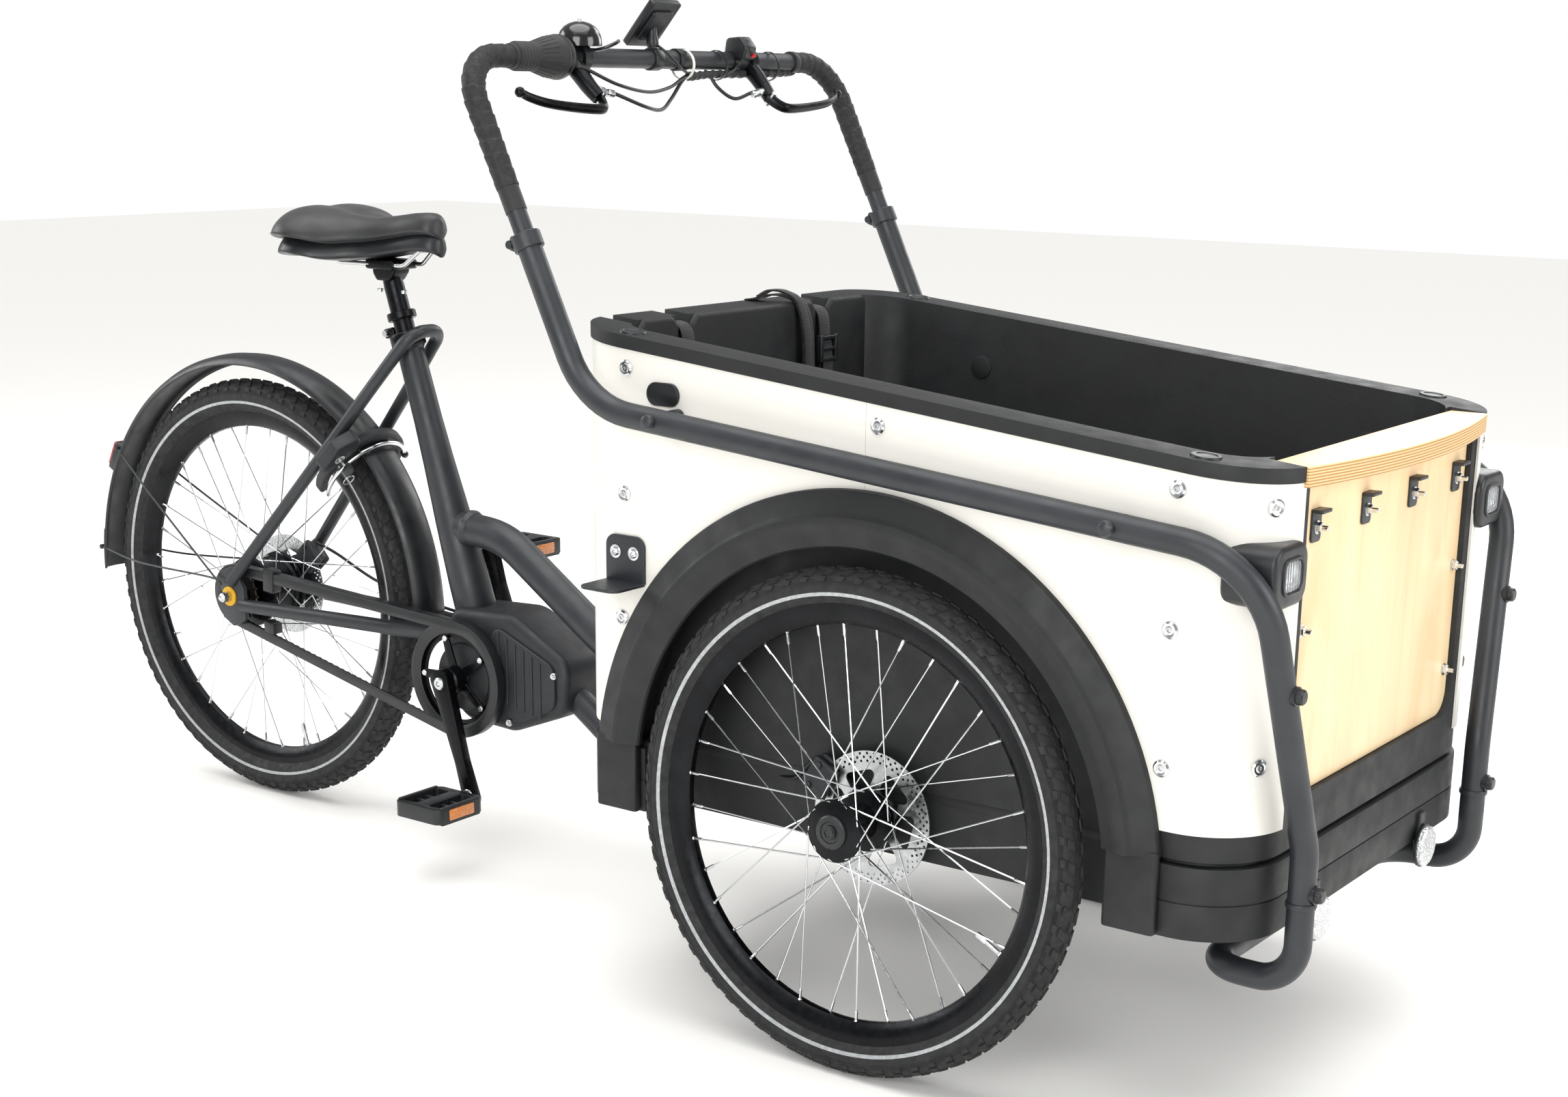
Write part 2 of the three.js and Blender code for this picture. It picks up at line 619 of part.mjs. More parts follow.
function pedal(name, turn, side) {
  const [x, z] = crankEnd(turn);
  const inner = side < 0 ? -94 : 84;
  const y = (d) => inner + side * d;
  const spindle = rod([x, y(-13), z], [x, y(16), z], PEDAL_SPINDLE_R, PEDAL_SPINDLE_R, 12);
  const cage = block(x - 46, x + 46, Math.min(y(12), y(108)), Math.max(y(12), y(108)), z - 14, z + 14);
  const openings = [-1, 1].map((s) =>
    block(x + s * 25 - 14, x + s * 25 + 14, Math.min(y(24), y(98)), Math.max(y(24), y(98)), z - 20, z + 20));
  return piece(name, join(cut(cage, ...openings), spindle), BLACK_MOULDED);
}

// ---- cargo box ----
const rimSlope = (RIM_TOP_REAR - RIM_TOP_FRONT) / (BOX_FRONT - BOX_REAR);
const rimTop = (x) => RIM_TOP_REAR - rimSlope * (x - BOX_REAR);

function boxOutline(inset) {
  const [x0, x1, h] = [BOX_REAR + inset, BOX_FRONT - inset, BOX_HALF_WIDTH - inset];
  return rounded([[x0, -h], [x1, -h], [x1, h], [x0, h]], BOX_CORNER - inset, 6);
}

// Everything above the sloping rim plane, moved down by drop.
function aboveRim(drop = 0) {
  return upright(polygon([
    [BOX_REAR - 60, rimTop(BOX_REAR - 60) - drop], [BOX_FRONT + 60, rimTop(BOX_FRONT + 60) - drop],
    [BOX_FRONT + 60, 960], [BOX_REAR - 60, 960],
  ]), -400, 400);
}

function wheelWell(radius, innerHalf, outerHalf, side) {
  const from = [WHEELBASE, side * innerHalf, FRONT_TYRE.radius];
  const to = [WHEELBASE, side * outerHalf, FRONT_TYRE.radius];
  return rod(from, to, radius, radius, 40);
}

// The space that the front ledge fills.
function capNotch() {
  return block(BOX_FRONT - 42, BOX_FRONT + 30, -258, 258, 732.7, 900);
}

function tubShape() {
  const rim = cut(flat(boxOutline(-2), 600, 900), aboveRim());
  const rimOnly = overlap(rim, aboveRim(RIM_DEPTH));
  const walls = cut(flat(boxOutline(PANEL + FIT), BOX_BOTTOM, 880), aboveRim(1));
  const inside = flat(rounded([
    [BOX_REAR + 36, -BOX_INNER_HALF], [BOX_FRONT - 40, -BOX_INNER_HALF],
    [BOX_FRONT - 40, BOX_INNER_HALF], [BOX_REAR + 36, BOX_INNER_HALF],
  ], BOX_EDGE_R, 5), BOX_FLOOR, 900);
  const frontOpening = (half, sill, radius) =>
    rounded([[-half, sill], [half, sill], [half, 900], [-half, 900]], [radius, radius, 0, 0], 4);
  const window = facing(frontOpening(WINDOW_HALF, WINDOW_SILL, 30), BOX_FRONT - 60, BOX_FRONT + 20);
  const rebate = facing(frontOpening(WINDOW_HALF + 8, WINDOW_SILL - 8, 32), BOX_FRONT - 22, BOX_FRONT + 20);
  const slot = (y) => rounded([[y - 11, BELT_SLOT_Z], [y + 11, BELT_SLOT_Z], [y + 20, 880], [y - 20, 880]], 3, 2);
  const beltNotches = BELT_Y.map((y) => facing(slot(y), BOX_REAR - 10, BOX_REAR + 60));
  return cut(
    join(walls, rimOnly), inside, window, rebate, capNotch(), ...beltNotches,
    wheelWell(WELL_RADIUS, BOX_WELL_HALF, 400, 1), wheelWell(WELL_RADIUS, BOX_WELL_HALF, 400, -1),
  );
}

function panelShape(side, front) {
  const sheet = flat(boxOutline(0), front ? 367 : 351, 880);
  const band = cut(sheet, flat(boxOutline(PANEL), 300, 900), aboveRim(RIM_DEPTH + FIT));
  const [x0, x1] = front ? [PANEL_SEAM + 0.2, BOX_FRONT + 20] : [BOX_REAR - 20, PANEL_SEAM - 0.2];
  const [y0, y1] = side < 0 ? [-400, -252] : [252, 400];
  const half = overlap(band, block(x0, x1, y0, y1, 300, 900));
  return cut(half, wheelWell(ARCH_OUTER + FIT, 240, 420, side), capNotch());
}

function archShape(side) {
  const section = [
    [ARCH_OUTER, 333.3], [ARCH_OUTER, 346], [360, 352], [ARCH_INNER + 2, 348], [ARCH_INNER, 340],
    [WELL_RADIUS - 8, 336], [WELL_RADIUS - 8, 296], [WELL_RADIUS - 2.5, 296], [WELL_RADIUS - 2.5, 333.3],
  ];
  const from = [WHEELBASE, 0, FRONT_TYRE.radius];
  const to = [WHEELBASE, side, FRONT_TYRE.radius];
  const hoop = overlap(ring(section, from, to, 40), block(900, 1900, -420, 420, BOX_BOTTOM + 0.6, 900));
  const [y0, y1] = side < 0 ? [-348, -336.4] : [336.4, 348];
  const legs = [-1, 1].map((s) => {
    const [a, b] = [WHEELBASE + s * (ARCH_INNER + 3), WHEELBASE + s * (ARCH_OUTER - 2)].sort((p, q) => p - q);
    return block(a, b, y0, y1, SKIRT_BOTTOM, BOX_BOTTOM + 12);
  });
  return join(hoop, ...legs);
}

function skirtShape(carve) {
  const outer = join(
    flat(boxOutline(0), SKIRT_BOTTOM, SKIRT_TOP),
    flat(boxOutline(14), SKIRT_TOP - 4, BOX_BOTTOM - FIT),
  );
  const hollow = flat(boxOutline(8), SKIRT_BOTTOM - 10, SKIRT_TOP - 6);
  const [x0, x1] = [WHEELBASE - ARCH_INNER + 3, WHEELBASE + ARCH_INNER - 3];
  const wells = (half, grow) => [-1, 1].map((s) =>
    block(x0 - grow, x1 + grow, Math.min(s * half, s * 420), Math.max(s * half, s * 420), 200, 400));
  return cut(outer, cut(hollow, ...wells(BOX_WELL_HALF - 9, 8)), ...wells(BOX_WELL_HALF - 3, 0), carve);
}

// Steering yoke, spine, cross-beam and wheel stubs under the box.
function chassisShape(grow = 0) {
  const g = grow;
  const yokeX = STEER_X - 30;
  const backPlate = block(914 - g, 926 + g, -45 - g, 45 + g, 192 - g, 343 + g);
  const lugs = [[192, 204.6], [330.4, 343]].map(([z0, z1]) =>
    flat(rounded([[yokeX, -30], [920, -44], [920, 44], [yokeX, 30]], [24, 4, 4, 24], 4), z0 - g, z1 + g));
  const spine = block(914, 1400, -26 - g, 26 + g, 262 - g, 302 + g);
  const beam = block(1345 - g, 1405 + g, -286, 286, 262 - g, 302 + g);
  const ends = [-1, 1].map((s) =>
    rod([WHEELBASE, s * 280, FRONT_AXLE_Z], [WHEELBASE, s * (303 + g), FRONT_AXLE_Z], 26 + g, 26 + g, 16));
  const stubs = [-1, 1].map((s) => {
    const c = new THREE.Vector3(WHEELBASE, s * FRONT_WHEEL_Y, FRONT_AXLE_Z);
    const out = new THREE.Vector3(0, s * Math.cos(CAMBER), Math.sin(CAMBER));
    const inner = c.clone().addScaledVector(out, -55).toArray();
    const outer = c.clone().addScaledVector(out, 39.5).toArray();
    return rod(inner, outer, STUB_R, STUB_R, 12);
  });
  const blank = join(backPlate, ...lugs, spine, beam, ...ends, ...(g ? [] : stubs));
  return g ? blank : cut(blank, rod([STEER_X, 0, 180], [STEER_X, 0, 360], PIN_BORE_R, PIN_BORE_R, 16));
}

function frontChassis() {
  const group = new THREE.Group();
  group.add(piece('cargo_tub', tubShape(), BLACK_MOULDED));
  group.add(piece('chassis_beam', chassisShape(), BLACK_PAINT));
  group.add(piece('lower_skirt', largestBody(skirtShape(chassisShape(0.6))), BLACK_MOULDED));
  const pin = [
    [0, 186], [19, 186], [19, 191.7], [PIN_R, 191.7], [PIN_R, 343.3], [19, 343.3], [19, 352], [0, 352],
  ];
  group.add(piece('steering_pin', turned(pin, STEER_FOOT, STEER_UP, 16), STEEL));

  for (const [side, suffix] of [[-1, 'right'], [1, 'left']]) {
    group.add(piece(`rear_panel_${suffix}`, panelShape(side, false), WHITE_PANEL));
    group.add(piece(`front_panel_${suffix}`, panelShape(side, true), WHITE_PANEL));
    group.add(piece(`wheel_arch_${suffix}`, archShape(side), BLACK_MOULDED));

    const collar = [COLLAR.x, side * SIDE_TUBE_Y, COLLAR.z];
    const elbowZ = 754;
    const elbow = [COLLAR.x + LEG_SLOPE * (COLLAR.z - elbowZ), side * SIDE_TUBE_Y, elbowZ];
    const path = [collar, elbow, [1864, side * 356, 674], [1889, side * 258, 350], [1889, side * 258, 291]];
    const legDown = new THREE.Vector3(LEG_SLOPE, 0, -1).normalize();
    const boreFrom = new THREE.Vector3(...collar).addScaledVector(legDown, -10);
    const boreTo = new THREE.Vector3(...collar).addScaledVector(legDown, LEG_BORE);
    const bore = rod(boreFrom.toArray(), boreTo.toArray(), BAR_R + 0.5, BAR_R + 0.5, 12);
    const sideTube = cut(tube(path, SIDE_TUBE_R, [110, 105, 80], 12, 4), bore);
    group.add(piece(`side_tube_${suffix}`, sideTube, BLACK_PAINT));

    const { half: w, halfHeight: h } = LAMP;
    const face = rounded([[-w, -h], [w, -h], [w, h], [-w, h]], 16, 3);
    const lamp = facing(face, LAMP.x, BOX_FRONT - 4).translate(0, side * LAMP.y, LAMP.z);
    const corner = flat(boxOutline(-0.4), 500, 800);
    group.add(piece(`headlamp_${suffix}`, largestBody(cut(lamp, corner)), BLACK_MOULDED));
  }

  const bumper = [[1889, -258, 290.6], [1889, -258, 199], [1782, -254, 198]];
  const hoop = tube([...bumper, ...mirrored(bumper).reverse()], SIDE_TUBE_R, 46, 12, 3);
  group.add(piece('lower_bumper', hoop, BLACK_PAINT));

  const ply = facing(rounded([
    [-235.4, 390.6], [235.4, 390.6], [235.4, 732.4], [-235.4, 732.4],
  ], [30, 30, 0, 0], 4), BOX_FRONT - 21.6, BOX_FRONT - 9.6);
  group.add(piece('ply_panel', ply, BIRCH));
  const cap = new THREE.Shape();
  cap.moveTo(BOX_FRONT - 41.6, -257.6);
  cap.lineTo(BOX_FRONT + 4, -257.6);
  cap.quadraticCurveTo(BOX_FRONT + 62, 0, BOX_FRONT + 4, 257.6);
  cap.lineTo(BOX_FRONT - 41.6, 257.6);
  group.add(piece('ply_cap', flat(cap, 733, 755), BIRCH));

  const bracket = join(
    upright(rounded([[1000, 540], [1060, 540], [1060, 596], [1000, 596]], [0, 10, 10, 10], 3), -340.4, -336.4),
    block(1000, 1060, -396, -336.4, 536, 540),
  );
  group.add(piece('shelf_bracket', bracket, BLACK_PAINT));
  return group;
}

// ---- handlebar ----
// The brake and shift cables, and the wrapped loom, which the bar holds along all of their length.
function barCables() {
  const routes = [
    [
      [846, -PERCH_Y, 1118], [854, -150, 1111], [866, -96, 1093], [850, -44, 1090], [832, -4, 1104],
      [826, 26, 1122], [818, 46, 1141],
    ],
    [
      [819, -193, 1146], [842, -186, 1140], [858, -140, 1120], [850, -70, 1112], [836, -10, 1118],
      [826, 30, 1130], [818, 58, 1142],
    ],
    [[846, PERCH_Y, 1118], [850, 150, 1112], [846, 118, 1104], [832, 98, 1118], [819, 92, 1140]],
  ];
  return [
    ...routes.map((route) => tube(route, CABLE_R, 12, 8, 2)),
    rod([822.5, 44, 1139], [822.5, 290, 1139], LOOM_R, LOOM_R, 8),
  ];
}

function handlebar() {
  const group = new THREE.Group();
  const legUp = new THREE.Vector3(-LEG_SLOPE, 0, 1).normalize();
  const foot = new THREE.Vector3(COLLAR.x, -SIDE_TUBE_Y, COLLAR.z).addScaledVector(legUp, -LEG_INSERT);
  const top = [COLLAR.x - LEG_SLOPE * (BAR_Z - COLLAR.z), -SIDE_TUBE_Y, BAR_Z];
  const leg = [foot.toArray(), top];
  const barAt = (y) => [top[0], y, BAR_Z];
  const perches = [-1, 1].map((s) => rod(barAt(s * PERCH_Y), [850, s * PERCH_Y, 1114], 6, 6, 10));
  const bar = tube([...leg, ...mirrored(leg).reverse()], BAR_R, 62, 12, 5);
  group.add(piece('handlebar', join(bar, ...perches, ...barCables()), BLACK_PAINT));

  const sleeve = [[BAR_R + 0.5, 0], [16, 0], [18, 30], [24, 62], [26, 72], [26, 90], [BAR_R + 0.5, 90]];
  group.add(piece('twist_grip', ring(sleeve, barAt(-287), barAt(0), 16), RUBBER));

  for (const [side, suffix] of [[-1, 'right'], [1, 'left']]) {
    const line = [
      [858, side * 176, 1106], [880, side * 196, 1090], [876, side * 300, 1098], [866, side * 330, 1110],
    ];
    group.add(piece(`brake_lever_${suffix}`, tube(line, 6, [12, 60], 8, 2), BLACK_ALLOY));
  }

  const bellAt = (z) => [top[0], BELL_Y, z];
  const domeProfile = [[0, 30], [14, 27], [24, 18], [28, 6], [28, 0], [0, 0]];
  const dome = turned(domeProfile, bellAt(1166), bellAt(1167), 20);
  const clamp = rod(barAt(BELL_Y + 8), barAt(BELL_Y - 8), 18, 18, 16);
  const stem = rod(bellAt(1158), bellAt(1170), 8, 8, 12);
  const bore = rod(barAt(BELL_Y + 33), barAt(BELL_Y - 37), BAR_R + 0.4);
  group.add(piece('bell', cut(join(dome, clamp, stem), bore), BLACK_ALLOY));
  const striker = tube([[842, BELL_Y, 1161], [862, BELL_Y, 1166], [868, BELL_Y + 13, 1172]], 3, 6, 8, 2);
  group.add(piece('bell_lever', striker, BLACK_ALLOY));

  const screen = block(-5, 5, -30, 30, -36, 36).rotateY(42 * DEG).translate(top[0] - 1, DISPLAY_Y, 1197.4);
  const holder = rod([top[0], DISPLAY_Y, BAR_Z + 14.5], [top[0] - 2, DISPLAY_Y, 1197], 7, 7, 10);
  group.add(piece('display', join(screen, holder), BLACK_MOULDED));
  return group;
}

// ---- assembly ----
const bike = new THREE.Group();
bike.add(
  rearFrame(), rearWheel(), lockPieces(), seat(), cranks(),
  pedal('pedal_right', CRANK_ANGLE, -1), pedal('pedal_left', CRANK_ANGLE + Math.PI, 1),
  frontChassis(), frontWheel(-1, 'right'), frontWheel(1, 'left'), handlebar(),
);
const sprocket = ring([[24.4, -57], [SPROCKET_RADIUS, -57], [SPROCKET_RADIUS, -53], [24.4, -53]],
  [0, 0, REAR_TYRE.radius], [0, 1, REAR_TYRE.radius], 24);
bike.add(piece('rear_sprocket', sprocket, STEEL));
bike.position.x = -ORIGIN_X;

const root = new THREE.Group();
root.add(bike);
export default root;
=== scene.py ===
import math

import bmesh
import bpy
from mathutils import Matrix, Vector


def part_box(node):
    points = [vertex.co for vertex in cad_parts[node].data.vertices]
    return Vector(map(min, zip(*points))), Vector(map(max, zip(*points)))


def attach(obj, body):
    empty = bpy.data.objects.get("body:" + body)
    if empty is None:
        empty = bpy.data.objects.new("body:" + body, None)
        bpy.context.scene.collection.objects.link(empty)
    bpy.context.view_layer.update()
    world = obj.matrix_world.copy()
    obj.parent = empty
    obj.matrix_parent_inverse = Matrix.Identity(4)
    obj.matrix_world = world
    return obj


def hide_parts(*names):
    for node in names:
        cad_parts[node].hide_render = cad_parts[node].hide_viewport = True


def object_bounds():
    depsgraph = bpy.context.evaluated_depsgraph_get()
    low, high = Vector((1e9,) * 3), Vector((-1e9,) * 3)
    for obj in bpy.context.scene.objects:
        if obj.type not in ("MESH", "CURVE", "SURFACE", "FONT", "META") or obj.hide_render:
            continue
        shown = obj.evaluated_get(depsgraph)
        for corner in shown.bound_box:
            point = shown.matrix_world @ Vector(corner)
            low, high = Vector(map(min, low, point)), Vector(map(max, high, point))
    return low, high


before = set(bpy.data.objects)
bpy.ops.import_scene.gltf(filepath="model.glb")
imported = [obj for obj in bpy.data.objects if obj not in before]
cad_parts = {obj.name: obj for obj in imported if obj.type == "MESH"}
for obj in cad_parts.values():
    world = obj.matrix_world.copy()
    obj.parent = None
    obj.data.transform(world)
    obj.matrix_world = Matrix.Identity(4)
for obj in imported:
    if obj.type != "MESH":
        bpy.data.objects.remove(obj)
cad_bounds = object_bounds()


# ---- place and view ----
# Sizes in this file are millimetres. A place is measured forward from the rear axle, to the
# rider's left, and up from the ground, and at() turns it into the frame's metres.
MM = 0.001
axle_low, axle_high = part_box("rear_tyre")
REAR_AXLE = [(a + b) / 2 for a, b in zip(axle_low, axle_high)]


def at(x, y, z):
    return Vector((REAR_AXLE[0] + x * MM, y * MM, z * MM))


def look_from(place, heading, drop, roll):
    """Turns a camera at a place: its heading from +X, its drop below level and its roll."""
    turn = Matrix.Rotation(math.radians(heading - 90), 4, "Z")
    tilt = Matrix.Rotation(math.radians(90 - drop), 4, "X")
    spin = Matrix.Rotation(math.radians(roll), 4, "Z")
    return Matrix.Translation(place) @ turn @ tilt @ spin


lens = bpy.data.cameras.new("camera")
lens.lens = 53.04
lens.sensor_width = 36
lens.shift_x = -0.0044
lens.shift_y = 0.1095
lens.clip_end = 60
camera = bpy.data.objects.new("camera", lens)
bpy.context.collection.objects.link(camera)
camera.matrix_world = look_from(at(2794, -2452, 1124), 125.64, 15.42, 0.67)
bpy.context.scene.camera = camera


# ---- studio ----
# A plain pale floor, five soft boxes, a broad glow from the ceiling, and a room that is seen white
# but casts less light than it shows.
def linear(colour):
    """The linear values of an sRGB hex colour."""
    parts = [int(colour[i:i + 2], 16) / 255 for i in (1, 3, 5)]
    return (*(p / 12.92 if p <= 0.04045 else ((p + 0.055) / 1.055) ** 2.4 for p in parts), 1)


def node(tree, kind, inputs=None, **settings):
    """Adds a node, sets its properties, and sets or links its inputs."""
    made = tree.nodes.new(kind)
    for key, value in settings.items():
        setattr(made, key, value)
    for key, value in (inputs or {}).items():
        if isinstance(value, bpy.types.NodeSocket):
            tree.links.new(value, made.inputs[key])
        else:
            made.inputs[key].default_value = value
    return made


def new_material(name, colour, roughness, metallic=0, ior=1.5, **sockets):
    """A Principled material with its constants set: material, tree, shader, object place."""
    made = bpy.data.materials.new(name)
    made.use_nodes = True
    made.diffuse_color = linear(colour)
    tree = made.node_tree
    tree.nodes.clear()
    shader = node(tree, "ShaderNodeBsdfPrincipled", {
        "Base Color": linear(colour), "Roughness": roughness, "Metallic": metallic, "IOR": ior})
    for key, value in sockets.items():
        shader.inputs[key.replace("_", " ")].default_value = value
    node(tree, "ShaderNodeOutputMaterial", {"Surface": shader.outputs[0]})
    place = node(tree, "ShaderNodeTexCoord").outputs["Object"]
    return made, tree, shader, place


def mottle(tree, place, shader, low, high, size):
    """Varies the base colour between two close tones in patches of a size in millimetres."""
    patch = node(tree, "ShaderNodeTexNoise", {"Vector": place, "Scale": 1000 / size, "Detail": 4})
    ramp = node(tree, "ShaderNodeValToRGB", {"Fac": patch.outputs["Fac"]})
    ramp.color_ramp.elements[0].position = 0.3
    ramp.color_ramp.elements[0].color = linear(low)
    ramp.color_ramp.elements[1].position = 0.72
    ramp.color_ramp.elements[1].color = linear(high)
    tree.links.new(ramp.outputs["Color"], shader.inputs["Base Color"])
    return patch


def vary_roughness(tree, place, shader, low, high, size):
    """Lets the roughness wander between two values in patches of a size in millimetres."""
    patch = node(tree, "ShaderNodeTexNoise", {"Vector": place, "Scale": 1000 / size, "Detail": 5})
    spread = node(tree, "ShaderNodeMapRange", {
        "Value": patch.outputs["Fac"], "From Min": 0.3, "From Max": 0.7, "To Min": low, "To Max": high})
    tree.links.new(spread.outputs["Result"], shader.inputs["Roughness"])


def relief(tree, shader, height, depth, strength=1.0):
    """Raises the surface by a height pattern, with a depth in millimetres."""
    bump = node(tree, "ShaderNodeBump", {"Height": height, "Distance": depth * MM, "Strength": strength})
    tree.links.new(bump.outputs["Normal"], shader.inputs["Normal"])


def studio_floor():
    made, tree, shader, place = new_material("matt studio floor", "#f3f2ef", 0.75)
    grit = node(tree, "ShaderNodeTexNoise", {"Vector": place, "Scale": 300, "Detail": 3})
    relief(tree, shader, grit.outputs["Fac"], 0.1, 0.3)
    return made


def new_object(name, mesh, skin=None):
    made = bpy.data.objects.new(name, mesh)
    bpy.context.collection.objects.link(made)
    if skin:
        mesh.materials.append(skin)
    return made


FLOOR_HALF = 14
floor_mesh = bpy.data.meshes.new("floor")
floor_mesh.from_pydata(
    [(x * FLOOR_HALF, y * FLOOR_HALF, 0) for x, y in ((-1, -1), (1, -1), (1, 1), (-1, 1))], [],
    [(0, 1, 2, 3)])
floor = new_object("floor", floor_mesh, studio_floor())

room = bpy.data.worlds.new("room")
room.use_nodes = True
seen = room.node_tree.nodes["Background"]
seen.inputs["Color"].default_value = (1, 1, 1, 1)
seen.inputs["Strength"].default_value = 1.0
cast = node(room.node_tree, "ShaderNodeBackground", {"Color": (1, 1, 1, 1), "Strength": 0.38})
ray = node(room.node_tree, "ShaderNodeLightPath", {})
choice = node(room.node_tree, "ShaderNodeMixShader",
              {0: ray.outputs["Is Camera Ray"], 1: cast.outputs[0], 2: seen.outputs[0]})
room.node_tree.links.new(choice.outputs[0], room.node_tree.nodes["World Output"].inputs["Surface"])
bpy.context.scene.world = room
bpy.context.scene.view_settings.view_transform = "Standard"

for name, place, size, power in (
    ("top softbox", (0.4, -0.4, 3.6), 3.4, 40),
    ("right softbox", (1.6, -3.8, 1.9), 2.4, 90),
    ("front softbox", (4.2, 0.6, 1.8), 2.2, 70),
    ("rear softbox", (-3.6, -1.2, 2.2), 2.2, 60),
    ("left softbox", (0.2, 4.0, 2.4), 2.4, 60),
):
    glow = bpy.data.lights.new(name, "AREA")
    glow.size = size
    glow.energy = power
    lamp = bpy.data.objects.new(name, glow)
    bpy.context.collection.objects.link(lamp)
    lamp.location = place
    lamp.rotation_euler = (Vector((0, 0, 0.5)) - Vector(place)).to_track_quat("-Z", "Y").to_euler()


noon = bpy.data.lights.new("ceiling glow", "SUN")
noon.energy = 2.1
noon.angle = math.radians(70)
ceiling = bpy.data.objects.new("ceiling glow", noon)
bpy.context.collection.objects.link(ceiling)


# ---- shaping ----
# The ways in which the pieces are made: bent tubes, turned pieces, cut blanks and copies.
def finish_mesh(mesh, sharp=32):
    shaped = bmesh.new()
    shaped.from_mesh(mesh)
    bmesh.ops.remove_doubles(shaped, verts=shaped.verts, dist=1e-6)
    bmesh.ops.dissolve_degenerate(shaped, edges=shaped.edges, dist=1e-7)
    bmesh.ops.recalc_face_normals(shaped, faces=shaped.faces)
    shaped.to_mesh(mesh)
    shaped.free()
    mesh.polygons.foreach_set("use_smooth", [True] * len(mesh.polygons))
    mesh.set_sharp_from_angle(angle=math.radians(sharp))


def shape(name, verts, faces, skin, sharp=32):
    mesh = bpy.data.meshes.new(name)
    mesh.from_pydata([tuple(v) for v in verts], [], faces)
    finish_mesh(mesh, sharp)
    return new_object(name, mesh, skin)


# The faces of a block whose eight corners run through x, then y, then z.
BLOCK_FACES = [(0, 1, 3, 2), (4, 6, 7, 5), (0, 4, 5, 1), (2, 3, 7, 6), (0, 2, 6, 4), (1, 5, 7, 3)]


def settle(made, sharp=None):
    """Applies what modifiers an object has."""
    graph = bpy.context.evaluated_depsgraph_get()
    mesh = bpy.data.meshes.new_from_object(made.evaluated_get(graph), depsgraph=graph)
    made.modifiers.clear()
    made.data = mesh
    if sharp:
        finish_mesh(mesh, sharp)
    return made


def soften(made, radius, segments=3, angle=35, sharp=50):
    """Rounds the edges of a piece with a radius in millimetres."""
    bevel = made.modifiers.new("soft edges", "BEVEL")
    bevel.width = radius * MM
    bevel.segments = segments
    bevel.limit_method = "ANGLE"
    bevel.angle_limit = math.radians(angle)
    bevel.harden_normals = False
    bevel.use_clamp_overlap = True
    return settle(made, sharp)


def combine(base, tools, way="DIFFERENCE", sharp=32, solver="MANIFOLD"):
    """Cuts, joins or crosses a piece with others, which are used up."""
    for tool in tools:
        cutter = base.modifiers.new("cutter", "BOOLEAN")
        cutter.operation = way
        cutter.solver = solver
        cutter.object = tool
    settle(base, sharp)
    for tool in tools:
        bpy.data.objects.remove(tool)
    return base


def gather(name, pieces, skin=None):
    """Makes one object of several, keeping their materials in turn."""
    shaped = bmesh.new()
    skins = []
    for part in pieces:
        copy = part.data.copy()
        own = copy.materials[0] if copy.materials else skin
        if own not in skins:
            skins.append(own)
        for face in copy.polygons:
            face.material_index = skins.index(own)
        shaped.from_mesh(copy)
        bpy.data.meshes.remove(copy)
    mesh = bpy.data.meshes.new(name)
    shaped.to_mesh(mesh)
    shaped.free()
    for own in skins:
        mesh.materials.append(own)
    for part in pieces:
        bpy.data.objects.remove(part)
    return new_object(name, mesh)


def bend(corners, radii, step=7):
    """Straight runs between corners with an arc at each corner, in metres."""
    places = [at(*c) for c in corners]
    radii = radii if isinstance(radii, (list, tuple)) else [radii] * (len(places) - 2)
    route = [places[0]]
    for before, here, after, radius in zip(places, places[1:], places[2:], radii):
        a, b = (before - here).normalized(), (after - here).normalized()
        half = a.angle(b) / 2
        r = radius * MM
        centre = here + (a + b).normalized() * r / math.sin(half)
        start, end = here + a * r / math.tan(half) - centre, here + b * r / math.tan(half) - centre
        sweep = start.angle(end)
        count = max(2, math.ceil(math.degrees(sweep) / step))
        for k in range(count + 1):
            t = k / count
            spoke = start * math.sin((1 - t) * sweep) + end * math.sin(t * sweep)
            route.append(centre + spoke / math.sin(sweep))
    route.append(places[-1])
    return route


def flowing(points, steps=8):
    """A smooth curve through points, in metres."""
    p = [at(*q) for q in points]
    p = [2 * p[0] - p[1], *p, 2 * p[-1] - p[-2]]
    route = []
    for a, b, c, d in zip(p, p[1:], p[2:], p[3:]):
        for k in range(steps):
            t = k / steps
            route.append(0.5 * (2 * b + (c - a) * t + (2 * a - 5 * b + 4 * c - d) * t * t
                                + (3 * b - a - 3 * c + d) * t ** 3))
    route.append(p[-2])
    return route


def sweep(name, route, section, skin, sharp=40, closed=False):
    """Sweeps a section along a route. section(i, t) gives its (across, up) points in millimetres."""
    count = len(route)
    verts, faces = [], []
    normal = None
    for i, here in enumerate(route):
        ahead = route[(i + 1) % count] if closed else route[min(i + 1, count - 1)]
        behind = route[i - 1] if closed else route[max(i - 1, 0)]
        along = (ahead - behind).normalized()
        if normal is None:
            helper = Vector((0, 0, 1)) if abs(along.z) < 0.9 else Vector((1, 0, 0))
            normal = (helper - along * along.dot(helper)).normalized()
        normal = (normal - along * along.dot(normal)).normalized()
        side = along.cross(normal)
        ring = section(i, i / (count - 1))
        verts += [here + (side * u + normal * v) * MM for u, v in ring]
    n = len(ring)
    spans = count if closed else count - 1
    for i in range(spans):
        j = (i + 1) % count
        faces += [(i * n + k, i * n + (k + 1) % n, j * n + (k + 1) % n, j * n + k) for k in range(n)]
    if not closed:
        faces += [tuple(range(n))[::-1], tuple(range((count - 1) * n, count * n))]
    return shape(name, verts, faces, skin, sharp)


